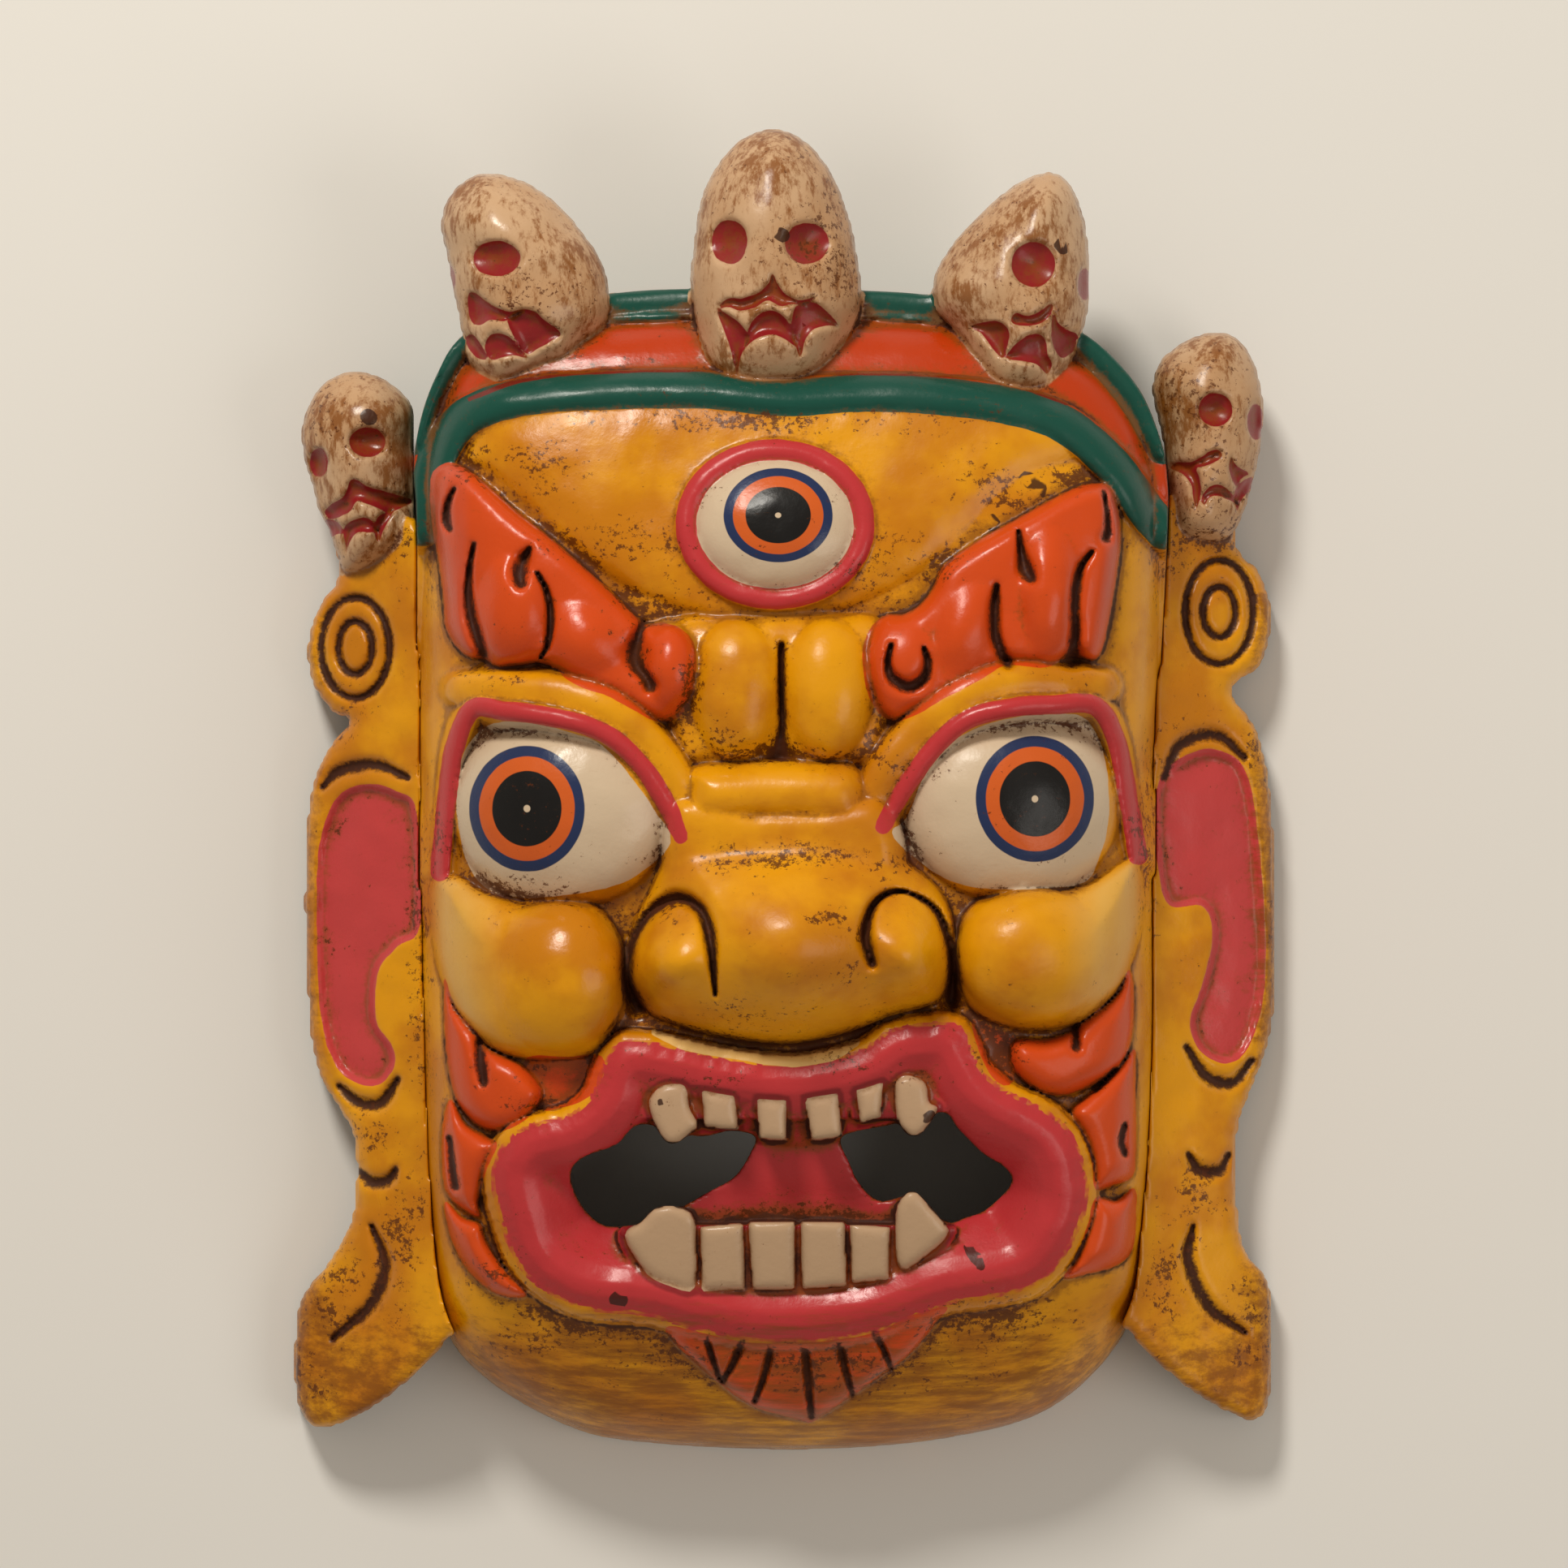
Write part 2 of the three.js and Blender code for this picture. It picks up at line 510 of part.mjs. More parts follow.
function faceBlock() {
  const shares = [0.8, 0.92, 0.975];
  const carved = joined([dome({ shares, spokes: RIM_SPOKES }), ...carving()]);
  const block = carved.intersect(rimPrism(PRISM_CLEARANCE));
  const groove = (line, steps) => draped(roll(line, { steps, section: DIAMOND, tall: 3 }));
  const nostrils = NOSTRIL_GROOVES.map((line) => groove(line, 5));
  const browCuts = BROWS.cuts.map((line) => groove(line, 2));
  const hollow = dome({ inset: WALL, lowered: SHELL, skirt: 5, spokes: 24, shares: [0.8, 0.94] });
  const mouth = solidOf(board(smoothOutline(MOUTH, 20), -10, 130));
  const open = cut(block, [...nostrils, ...browCuts, hollow, mouth]);
  const gums = GUMS.map((line) => draped(roll(line, { steps: 4, section: GABLE })));
  const inMouth = [...gums, draped(roll(TONGUE, { steps: 4, tall: 0.35 })), ...TEETH.map(tooth)];
  return joined([open, ...inMouth, skull(SKULLS.middle), skull(SKULLS.left), skull(SKULLS.right)]);
}

const EARS = {
  left: {
    side: -1,
    outline: [
      [-104, 70], [-118, 86], [-137, 84], [-138, 64.5], [-143, 57], [-147, 45], [-145.8, 32.5],
      [-140, 23.5], [-134.5, 20], [-141.5, 11], [-146.5, -4], [-148, -32.5], [-147.3, -57.5], [-146, -77.5],
      [-142.8, -90], [-137, -99.5], [-133, -108], [-132, -120], [-134, -134], [-141, -146.5], [-149, -157],
      [-151, -170], [-150.5, -188.5], [-146.5, -196.5], [-141, -197.5], [-131.5, -194.3], [-119, -186],
      [-104, -171], [-96, -150], [-96, 0], [-100, 50],
    ],
    disc: { x: -132, y: 43, rings: [[10.5, 15], [5, 7]] },
    recess: [
      [-137.5, -3], [-129, 1], [-119, -1.5], [-115.5, -12], [-114.5, -42], [-119, -49], [-125, -57],
      [-125.5, -72], [-120.5, -80], [-120, -86], [-124.5, -91.5], [-132, -91], [-139, -84], [-143, -67],
      [-144, -32], [-142.5, -15],
    ],
    marks: [
      [[-142, 0, 0, 1.5], [-137, 5, 0, 2.5], [-126, 7, 0, 2.5], [-116, 3, 0, 1.5]],
      [[-137, -92, 0, 1.5], [-131, -97, 0, 3], [-124, -97, 0, 3], [-119, -90, 0, 1.5]],
      [[-131, -118, 0, 1], [-127, -121.5, 0, 2.5], [-122, -121, 0, 2], [-119.5, -117.5, 0, 1]],
      [[-125, -136, 0, 1], [-122.5, -148, 0, 3], [-126, -159, 0, 2.5], [-137, -168, 0, 1]],
    ],
  },
  right: {
    side: 1,
    outline: [
      [104, 74], [116, 90], [136, 90], [140, 74], [147, 66], [150.5, 53], [147.5, 38], [138.5, 30],
      [146, 17.5], [150.3, -2.5], [151.5, -32.5], [151.5, -65], [148.5, -82.5], [143.5, -95],
      [139.8, -107.5], [139.8, -127.5], [142.5, -142.5], [148.5, -150], [150.8, -162.5], [150, -187.5],
      [146, -195], [139, -194], [123.5, -185], [106, -168], [96, -150], [96, 0], [100, 50],
    ],
    disc: { x: 135, y: 54.5, rings: [[10.5, 16], [4.7, 8]] },
    recess: [
      [123, 9.5], [133, 11.5], [143, 3], [147.5, -32], [148, -62], [143, -80], [136, -85], [128, -81],
      [125, -72], [129, -60], [132, -45], [128.5, -36.5], [117.5, -35], [116.5, -10], [118.5, 3],
    ],
    marks: [
      [[117, 3, 0, 1.5], [122, 13, 0, 2.5], [133, 16, 0, 2.5], [142, 9, 0, 1.5]],
      [[124, -80, 0, 1.5], [130, -89, 0, 3], [138, -91, 0, 3], [144, -84, 0, 1.5]],
      [[124.5, -113, 0, 1], [128, -118, 0, 2.5], [134, -118, 0, 2.5], [137, -113, 0, 1]],
      [[124.5, -140, 0, 1], [125, -151, 0, 3], [131, -160, 0, 3], [143, -165, 0, 1]],
    ],
  },
};
const RECESS_DEPTH = 4;
const MARK_DEPTH = 4;
const RING_CUT = { steps: 8, closed: true, section: DIAMOND, tall: 1.4 };
const MARK_CUT = { steps: 3, section: DIAMOND, tall: MARK_DEPTH / 3 };

// Slopes a shape made level back from the face, as the side boards lean.
function leaned(geometry, side) {
  const place = geometry.attributes.position;
  for (let i = 0; i < place.count; i++) {
    place.setZ(i, place.getZ(i) - BOARD.slope * (side * place.getX(i) - BOARD.inner));
  }
  return solidOf(geometry);
}

function sideBoard({ side, outline, disc, recess, marks }, head) {
  const { front, thickness, bevel } = BOARD;
  const level = (line, height) => line.map(([x, y, , r]) => [x, y, height, r]);
  const plate = leaned(board(smoothOutline(outline, 32), front - thickness, front, bevel), side);
  const sunk = leaned(board(smoothOutline(recess, 14), front - RECESS_DEPTH, front + 10), side);
  const ring = ([rx, ry]) => roll(ellipse(disc.x, disc.y, rx, ry, front, 1.8), RING_CUT);
  const rings = disc.rings.map((size) => leaned(ring(size), side));
  const cuts = marks.map((line) => leaned(roll(level(line, front), MARK_CUT), side));
  const keepOff = rimPrism(PRISM_CLEARANCE + JOINT_GAP);
  return cut(joined([cut(plate, [sunk, ...rings, ...cuts]), skull(head)]), [keepOff]);
}

// The one outer skin of a solid: crumbs left by a cut and pockets shut inside the wood are dropped.
function whole(solid) {
  return solid.decompose().reduce((best, one) => (one.volume() > best.volume() ? one : best));
}

// Draws every point in towards the middle by how near the eye it stands.
function finished(solid, name, material) {
  const made = whole(solid).getMesh();
  const positions = new Float32Array(made.numVert * 3);
  for (let i = 0; i < made.numVert; i++) {
    const [x, y, z] = made.vertProperties.subarray(i * made.numProp, i * made.numProp + 3);
    const near = 1 - z / EYE_DISTANCE;
    positions.set([x * near, y * near, z], i * 3);
  }
  const geometry = new THREE.BufferGeometry();
  geometry.setAttribute("position", new THREE.BufferAttribute(positions, 3));
  geometry.setIndex(new THREE.BufferAttribute(new Uint32Array(made.triVerts), 1));
  geometry.computeVertexNormals();
  const mesh = new THREE.Mesh(geometry, material);
  mesh.name = name;
  return mesh;
}

const mask = new THREE.Group();
mask.add(finished(faceBlock(), "face_block", PAINT.face));
mask.add(finished(sideBoard(EARS.left, SKULLS.outerLeft), "left_ear_board", PAINT.ear));
mask.add(finished(sideBoard(EARS.right, SKULLS.outerRight), "right_ear_board", PAINT.ear));

// The middle of the finished mask is the middle of the frame.
const middle = new THREE.Box3().setFromObject(mask).getCenter(new THREE.Vector3());
for (const piece of mask.children) piece.geometry.translate(-middle.x, -middle.y, 0);

export default mask;
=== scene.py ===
"""A carved and painted wooden dance mask, lying face up on the rim of its hollow back.

The frame is the CAD's: +X across the face, +Y up towards the skulls, +Z out of the face, the rim on z = 0.
Layout sizes below are millimetres as seen from straight in front, from EYE away, measured from the middle of
the face. A place nearer the eye looks larger, so it is drawn in by how near it stands when the mesh is made.
The carving is worked out as height maps over that front view, then cut as one closed skin per piece.
"""

import math
from functools import reduce

import bpy
import numpy as np
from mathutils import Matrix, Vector


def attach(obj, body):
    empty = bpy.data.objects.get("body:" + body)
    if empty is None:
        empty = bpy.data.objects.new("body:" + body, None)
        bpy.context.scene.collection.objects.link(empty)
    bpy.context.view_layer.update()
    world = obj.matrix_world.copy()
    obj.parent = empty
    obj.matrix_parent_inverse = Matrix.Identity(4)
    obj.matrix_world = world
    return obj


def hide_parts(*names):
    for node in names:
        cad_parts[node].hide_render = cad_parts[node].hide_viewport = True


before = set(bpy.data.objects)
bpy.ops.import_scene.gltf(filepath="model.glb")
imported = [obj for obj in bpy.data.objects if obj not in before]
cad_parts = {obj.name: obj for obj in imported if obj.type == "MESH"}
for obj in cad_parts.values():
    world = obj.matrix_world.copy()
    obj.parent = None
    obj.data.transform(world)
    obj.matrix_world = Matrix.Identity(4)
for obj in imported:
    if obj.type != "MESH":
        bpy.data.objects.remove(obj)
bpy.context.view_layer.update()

# The picture: how far off the eye is, where the layout's middle lies, and what width the camera takes in
EYE = 1500.0
SHIFT = (-0.342, 4.347)
PICTURE_WIDTH = 483.0
SENSOR_WIDTH = 36.0
MM = 0.001

# How finely the pieces are worked out
MAP_STEP = 0.5
SKIN_STEP = 1.0
FACE_TRIANGLES = 190000
BOARD_TRIANGLES = 80000
# The boxes that the pieces are looked for in, as low and high ends along X, Y and Z.
FACE_BOX = (-121, 121, -209, 207, -3, 128)
BOARD_SIDES = (90.0, 156.0)
BOARD_BOX = (-203, 145, -4, 60)
# Fields are cut off past these depths, so that steep places come out clean.
FIELD_LIMIT = 10.0
FACE_FIELD_LIMIT = 30.0
# Margins are followed this far from a shape, and a map without wood is this low.
FAR = 8.0
EMPTY = -60.0
LINE_SOFTNESS = 0.7

xs = np.arange(-158, 158.01, MAP_STEP)
ys = np.arange(-212, 212.01, MAP_STEP)
X, Y = np.meshgrid(xs, ys)

# Sizes of the face block
RIM_MIDDLE = (0.0, -25.0)
RIM = [
    (-113, 76), (-113, 0), (-112, -80), (-110, -135), (-105, -165), (-92, -182), (-66, -197), (-41, -202),
    (8, -204), (53, -200), (84, -190), (106, -166), (112, -135), (114.5, -80), (114.5, 0), (118, 77),
    (118, 95), (116, 107), (108.5, 124), (93.5, 139), (75, 146), (49, 151), (24, 153), (-29, 153.5),
    (-54, 152), (-80, 148), (-99, 139), (-107, 127), (-112, 113), (-114, 98),
]
DOME_POWER = 4.5
# Height of the dome's middle, by the place up the face.
DOME_HEIGHTS = ((-204, 58), (-160, 68), (-115, 75), (-60, 78), (0, 80), (70, 82), (153, 82))
DRAPE_LIMIT = 0.965
WALL = 15.0
SHELL = 17.0
JOINT_GAP = 0.2
JOINT_LAP = 2.6

# The crown band
BAND_LOWER = [
    (-111, 80), (-107, 101), (-98, 114), (-81, 120), (-56, 122), (-26, 122.5), (0, 120), (24, 121.5),
    (47, 120.5), (69, 117.5), (86, 112), (101, 99.5), (111, 86), (117, 79),
]
BAND_UPPER = [
    (-114, 108), (-108, 125), (-97, 139), (-75, 146), (-40, 149), (0, 150), (35, 149), (70, 145), (92, 137),
    (107, 122), (117, 105),
]
BAND_MIDDLE = [
    (-111, 97), (-105, 113), (-95, 126.5), (-75, 133), (-40, 135.5), (0, 135.5), (35, 135), (70, 131.5),
    (91, 124), (105, 111), (115, 94),
]
BAND_STRIPE = [
    (-97, 119.5), (-80, 125.6), (-56, 128), (-26, 128.6), (0, 127.6), (24, 127.6), (47, 127), (69, 124.5),
    (88, 118),
]
CREAM_STRIP = [
    (-40, -75.5, 1), (-30, -79.3, 1.9), (-14, -82, 2), (0, -83.8, 2.4), (14, -82.3, 2.2), (22, -78.5, 1.4),
]

# Stains and wear
# Dark spots, slips of the brush and rings left by drops, as [x, y, radius] lines.
STAINS = [
    [(-51.2, -158, 2.8), (-50.8, -158, 2.8)],
    [(56.5, -141, 1.5), (58.3, -143.5, 2), (60.5, -147.5, 1.5)],
    [(-128.2, 114.3, 2.4), (-127.6, 113.8, 2.4)],
    [(-1.3, 170.5, 2.2), (-0.3, 170, 2.2)],
    [(84.8, 167.2, 1.8), (86, 166.2, 2)],
    [(72.5, 95.6, 0.5), (74.5, 97, 0.5), (76.8, 96, 0.6), (76.8, 93.6, 0.5), (74.6, 92.6, 0.5),
     (72.6, 93.8, 0.5)],
    [(77.5, 92.6, 0.5), (80, 93.6, 0.6), (81, 91.4, 0.5), (79.6, 89.4, 0.5), (77.6, 90.3, 0.5)],
    [(62, 82.4, 0.5), (64.2, 83.6, 0.6), (66, 82.2, 0.5), (65.6, 79.8, 0.5), (63.2, 79.2, 0.5)],
    [(43.8, -102, 1.6), (45.2, -101, 1.6)],
    [(-38.2, -97.2, 1), (-38, -97, 1)],
]
# Rubbed patches of the paint, two of which also stand for painted shade on the upper lip, and brown stains of
# the skulls, as (x, y, half width, half height).
RUBS_AND_LIP_SHADE = [
    (13, -39.5, 11, 4.5), (20.5, -56, 5, 6), (24, -45, 5, 4), (-72, -168, 26, 9), (-40, -176, 22, 8),
    (62, -166, 30, 9), (-98, 98, 12, 9), (-50, 76, 26, 7), (-22, 15, 12, 9), (29, 12, 9, 8),
    (-37, -36, 9, 6), (48, 70, 16, 8), (88, 96, 16, 7), (-1, 42, 5, 8), (-90, 33, 12, 5),
    (-139, -150, 10, 22), (-146, -184, 8, 12), (143, -160, 9, 20), (146, 10, 7, 18), (-136, 20, 9, 8),
    (136, 76, 12, 6), (128, -128, 9, 14), (-112, -50, 5, 60), (-128, -104, 8, 10), (-72, 100, 16, 9),
    (-38, 58, 18, 7), (26, 66, 14, 9), (62, 94, 16, 9), (-30, 30, 6, 16), (-2, 11, 28, 6),
    (-106, -12, 6, 14), (112, -20, 5, 50), (20, -180, 52, 9), (-8, -71, 22, 6), (0, 112, 60, 5),
    # The patches at y -89 and -86 over the upper lip are partly brown smears and partly painted shade where
    # the lip faces down
    (30, -24, 10, 7), (-20, -89, 24, 5), (25, -86, 22, 5), (0, -22, 30, 6), (-80, -97, 12, 8),
    (70, -82, 12, 8), (-90, -150, 14, 10), (-116, 80, 8, 14), (118, 70, 8, 14), (-118, -140, 8, 26),
    (118, -150, 8, 24), (-44, 40, 8, 12), (-86, -30, 22, 4),
]
SKULL_STAINS = [
    (-5, 192, 15, 16), (-18, 130, 9, 10), (-99, 176, 8, 14), (-66, 158, 10, 12), (70, 168, 20, 16),
    (55, 150, 8, 10), (-141, 108, 9, 14), (-120, 98, 7, 14), (124, 114, 10, 16), (133, 134, 12, 6),
]

# The eyes
THIRD_EYE = dict(cx=-2.75, cy=81, rx=27.5, ry=23)
# Height over the dome and radius of the upper lid and of the lid's edge, from point to point.
LID_ROLL = ((4, 5), (6, 6), (7, 7), (8, 7), (7, 6), (6, 6), (4, 5))
EDGE_ROLL = ((2, 3), (3, 3), (5, 3), (8, 3), (11, 3), (13, 3), (12, 3), (10, 3), (8, 3), (5, 2.5))
EYES = [
    dict(
        ball=dict(x=-68, y=-5, z=-3, rx=36, up=27, down=33, rz=18),
        white=[(-101, -5), (-99, 10), (-91, 19), (-79, 20), (-66, 17), (-56, 13), (-47, 3), (-40, -7),
            (-34.5, -16), (-41, -24), (-51, -30), (-66, -33), (-81, -34), (-92, -31), (-98, -22)],
        lid=[(-100, 30), (-86, 30), (-70, 28), (-55, 24), (-43, 15), (-34, 3), (-29, -12)],
        edge=[(-106, -26), (-104, -5), (-101.5, 12), (-96, 24), (-86, 23.5), (-71, 21.5), (-56, 17),
            (-45, 8), (-37, -4), (-32, -15)],
    ),
    dict(
        ball=dict(x=70, y=-4, z=-3, rx=35, up=27, down=32, rz=18),
        white=[(33.5, -15), (38, -9), (44, 5), (53, 15), (68, 21), (82, 22.5), (93, 21), (99, 8), (100, -10),
            (97, -22), (93, -29), (83, -31), (60, -31), (46, -26)],
        lid=[(98, 31), (85, 32), (70, 32), (55, 27), (42, 18), (31, 5), (25, -10)],
        edge=[(109, -21), (106, -4), (102.5, 14), (96, 25), (83, 25.5), (70, 24.5), (57, 21), (47, 13),
            (38, 1), (30.5, -12)],
    ),
]
# Each is (x, y, half width, half height).
IRISES = [(-79.2, -6.6, 17.8, 19.4), (77.3, -3.6, 18.2, 19.4), (-1.8, 83.8, 16.8, 14.5)]

# Cheeks, nose and frown
CHEEKS = [
    dict(
        outline=[(-109, -30), (-107, -55), (-99, -72), (-87, -82), (-71, -84), (-57, -81), (-50.5, -69),
            (-49, -56), (-51, -45), (-57, -37), (-66, -34.5), (-81, -35), (-93, -32), (-101, -27)],
        ball=dict(x=-70, y=-58, z=2, rx=22, up=23, down=24, rz=20),
    ),
    dict(
        outline=[(57, -37), (65, -33), (80, -32), (93.5, -30), (108, -22), (111, -38), (107, -55),
            (101, -65), (91, -72.5), (78.5, -75), (66, -73), (57, -67.5), (53.5, -57.5), (53, -46)],
        ball=dict(x=77, y=-51, z=2, rx=24, up=20, down=22, rz=20),
    ),
]
NOSE_OUTLINE = [
    (-30, -15.5), (-14, -14.5), (2, -15), (18, -14.5), (31, -17.5), (41, -25), (49, -33), (53, -45),
    (52, -57.5), (47, -66), (33, -71), (18, -76), (2, -79), (-16, -77.5), (-31, -74), (-42, -69),
    (-48.5, -60), (-49.5, -52), (-46.5, -42), (-41.5, -32), (-37, -22),
]
NOSE_SWELLS = [
    dict(x=1, y=-50, rx=38, up=36, down=34, rz=15), dict(x=-34, y=-54, rx=17, up=20, down=19, rz=9),
    dict(x=38.5, y=-52, rx=17, up=20, down=20, rz=9),
]
# Cuts are lines of (x, y, half width).
NOSTRILS = [
    [(-21.2, -64, 0.4), (-21.8, -56, 1.1), (-22.8, -46, 1.8), (-25, -38.8, 1.7), (-29.5, -34.8, 1.8),
     (-34, -34.2, 2), (-40, -37.5, 1.8), (-45, -43.8, 1.4), (-47.8, -51, 1.6), (-48.5, -60, 2),
     (-45, -68, 2.4)],
    [(27.3, -54.5, 1.3), (25.2, -47.5, 1.8), (25.3, -42.5, 1.6), (27.3, -36.5, 1.3), (32, -32.6, 0.8),
     (38, -32.4, 0.5), (46, -37, 0.9), (50, -45, 1.3), (52, -55, 1.6), (51.5, -66, 2.4)],
]
BRIDGE = [
    (-28, 7), (-12, 8.8), (8, 8.8), (21, 7.5), (26, 1), (25.5, -8), (19, -13), (-2, -12.5), (-21, -13),
    (-30, -9), (-31, 0),
]
SADDLE = [(-34, -2), (-10, -4), (10, -4), (30, -2), (38, -20), (30, -30), (-30, -30), (-38, -20)]
KNOT = [(-36, 49), (-14, 53), (12, 53), (32, 49), (31, 10), (24, 6), (-28, 6), (-35, 12)]
FROWN = [
    [(-26, 45), (-16.5, 48.8), (-5.3, 46.3), (-2.5, 40), (-2.2, 25), (-4, 15), (-9, 10), (-16.5, 11.3),
     (-24, 17.5), (-27, 27.5), (-26.5, 37.5)],
    [(1.5, 42.5), (4.8, 46.3), (16, 48), (23, 45), (24, 35), (23.5, 22.5), (19.8, 15), (11, 10.5),
     (4.8, 12.5), (1.5, 20)],
]
FROWN_LUMPS = [dict(x=-15, y=30, z=4, rx=14, up=22, rz=12), dict(x=13.5, y=30, z=4, rx=14, up=22, rz=12)]
FROWN_CLEFT = [(-0.8, 44, 0.9), (-0.8, 30, 0.8), (-0.5, 20, 1), (-0.9, 15, 2), (-1.2, 11, 4), (-1.2, 9.5, 4)]

# Forehead and brows
FOREHEAD = [
    (-98, 102), (-90, 97), (-76, 84), (-62.8, 72), (-46.5, 61), (-29, 54.5), (-15.3, 51.3), (-1.5, 50),
    (11, 52.5), (28.5, 58.8), (43.5, 67.5), (58.5, 82.5), (68.5, 92.5), (80, 99), (95, 103), (90, 116),
    (60, 124), (0, 126), (-60, 124), (-90, 116),
]
BROWS = [
    [(-109, 94.5), (-105.2, 99.5), (-101, 99.8), (-96.5, 97.5), (-89, 91.2), (-81.5, 84.5), (-74, 78.8),
     (-66.5, 72.5), (-59, 65.8), (-52.8, 60), (-47.8, 55), (-42.8, 50.5), (-37.8, 50.8), (-32.8, 49.5),
     (-29, 46.2), (-27, 41.2), (-27.2, 33.8), (-28.5, 27), (-31.5, 22.5), (-36, 20.2), (-41.5, 21),
     (-47.8, 24.5), (-54, 28), (-61.5, 30.5), (-66.5, 33), (-70.2, 36), (-75.2, 38), (-81.5, 37),
     (-88.5, 36.5), (-92, 39.2), (-97, 40), (-101.5, 43.8), (-104.5, 50), (-105.2, 58.8), (-106.5, 68.8),
     (-108.2, 78.8)],
    [(102.2, 89.5), (99.8, 93.2), (96, 94), (91, 93), (86, 90.8), (79.8, 87.5), (71, 82.5), (61, 77),
     (52.2, 71), (48, 67), (45.5, 61.2), (41.5, 56.2), (36.5, 53.5), (31.5, 53.2), (27.8, 50.5), (25, 45.5),
     (24.2, 38.8), (25.5, 30), (28.5, 23.8), (33, 20.2), (37.2, 20.8), (42.2, 23), (49.8, 27.5), (58.5, 32),
     (68.5, 37.5), (79.8, 36.8), (85.5, 39), (91, 39.8), (95.5, 39), (98.5, 43.2), (101, 55), (103, 67.5),
     (104, 78.8)],
]
BROW_LUMPS = [
    dict(x=-84, y=54, z=4, rx=12, up=19, down=16, rz=13),
    dict(x=-62, y=46, z=4, rx=14, up=11, rz=11, turn=-40), dict(x=-35, y=37, z=6, rx=8.5, up=13, rz=11),
    dict(x=82, y=60, z=5, rx=10, up=22, down=22, rz=12),
    dict(x=56, y=49, z=4, rx=10, up=16, rz=11, turn=-20), dict(x=37, y=38, z=4, rx=12, up=14, rz=11),
]
BROW_CUTS = [
    [(-78.5, 73.5, 0.8), (-80.5, 69.5, 2.2), (-81.5, 65.5, 2.8), (-81, 62.8, 1.6)],
    [(-43.5, 50.5, 0.8), (-45, 46, 2.2), (-46, 41, 3), (-45, 37, 2.2), (-42, 33.5, 1.4), (-41, 31.3, 2)],
    [(-76, 66, 0.5), (-73, 60, 0.8), (-71.8, 52, 1), (-72.8, 44, 0.8), (-75, 40, 0.5)],
    [(-95.5, 75, 0.5), (-97, 66, 0.9), (-97, 56, 1.6), (-94.5, 46, 1.9), (-92.5, 41, 1.5)],
    [(-101.5, 92, 0.5), (-103.5, 87.5, 0.9), (-104, 82, 1.2), (-103, 79.5, 0.8)],
    [(72.3, 79, 0.6), (73, 73, 1.2), (74.5, 67.5, 2.3), (76, 64.5, 1.8)],
    [(65.5, 62, 0.8), (64.8, 55, 1.7), (65, 47.5, 1.7), (66.8, 42, 1.7), (69, 38, 1.5)],
    [(94.8, 72.5, 0.7), (91.5, 68, 1.2), (90, 62, 1.5), (89.5, 55, 1.6), (89.8, 47.5, 1.7),
     (88.8, 39.5, 2.6)],
    [(98.5, 91, 0.4), (99.5, 85, 0.6), (99.8, 79, 1.2), (99.3, 77, 1.6)],
    [(33, 44, 0.6), (32, 38, 1.2), (33.5, 33.5, 1.8), (38, 31, 2), (42.5, 33, 1.8), (44.3, 38, 1.2),
     (43, 43, 0.6)],
]

# Whiskers and beard
WHISKERS = [
    [(-104.5, -59), (-101.5, -67.5), (-95, -75), (-91.5, -80), (-81.5, -85), (-76.5, -90), (-74.5, -95),
     (-78, -101), (-84, -105), (-90, -105.8), (-96.5, -102.5), (-101.5, -95), (-104, -82.5), (-104.8, -70)],
    [(-102.8, -96), (-97.8, -103.8), (-91.5, -107.5), (-88.5, -110), (-91.5, -117.5), (-94, -127.5),
     (-93.5, -132.5), (-99, -130), (-104, -125), (-105.3, -117.5), (-105.3, -105)],
    [(-104.5, -127.5), (-99, -132.5), (-93.5, -134.5), (-91.5, -140), (-86.5, -147.5), (-79, -156.3),
     (-86.5, -156.8), (-94, -152.5), (-100, -145), (-103.5, -136)],
    [(69.8, -80), (73.5, -77.5), (81, -77.5), (88.5, -75), (94.8, -70), (102.3, -63.8), (106.5, -56),
     (108, -67.5), (106.5, -80), (102, -87.5), (93.5, -92.5), (86, -95), (78.5, -93.8), (71, -87.5)],
    [(93.5, -95), (103.5, -86), (108, -81), (108.5, -95), (108.5, -112.5), (107.3, -120), (101, -123),
     (96, -123.8), (94.8, -115), (92.3, -107.5), (88.5, -100)],
    [(96, -126.3), (102.3, -127), (108, -123.5), (108.5, -132.5), (107.3, -142.5), (102.3, -147.5),
     (93.5, -150), (86, -151.3), (89.8, -145), (93.5, -135)],
]
WHISKER_ROOM = [
    [(-80, -84), (-66, -83), (-56, -83), (-56, -90), (-61, -96), (-70, -99), (-76, -98)],
    [(58, -72), (66, -75), (72, -78), (72, -88), (68, -92), (62, -86)],
]
WHISKER_CUTS = [
    [(-94, -78.5, 1), (-93.3, -85, 2), (-92.5, -91, 1.2)],
    [(-103, -108, 0.8), (-102, -118, 1.2), (-101, -123, 1.3)],
    [(89.8, -74, 1), (90, -80, 1.6)],
    [(102, -87, 0.8), (96, -93, 1)],
    [(104.8, -104, 0.8), (104, -109, 1.2), (105, -113, 0.9)],
]
BEARD = [
    (-36, -166), (-34, -171), (-21.5, -182.5), (-9, -191), (5, -195), (8.5, -195.5), (16, -191),
    (28.5, -182.5), (38.5, -175), (47, -165), (50, -160), (38, -163), (28, -168), (8, -171), (-11, -171),
    (-25, -168),
]
BEARD_CUTS = [
    [(-24, -170, 0.8), (-22, -176, 1), (-20, -182, 0.6)],
    [(-13, -171, 1), (-16, -178, 1.2), (-19, -183, 0.7)],
    [(-4, -172, 1), (-6, -181, 1.2), (-9, -189, 0.8)],
    [(6.5, -172, 1), (7.5, -184, 1.3), (8.5, -194, 0.9)],
    [(17, -171, 0.9), (19, -180, 1.1), (21, -187, 0.7)],
    [(28, -168, 0.9), (31, -174, 1), (33, -179, 0.6)],
]

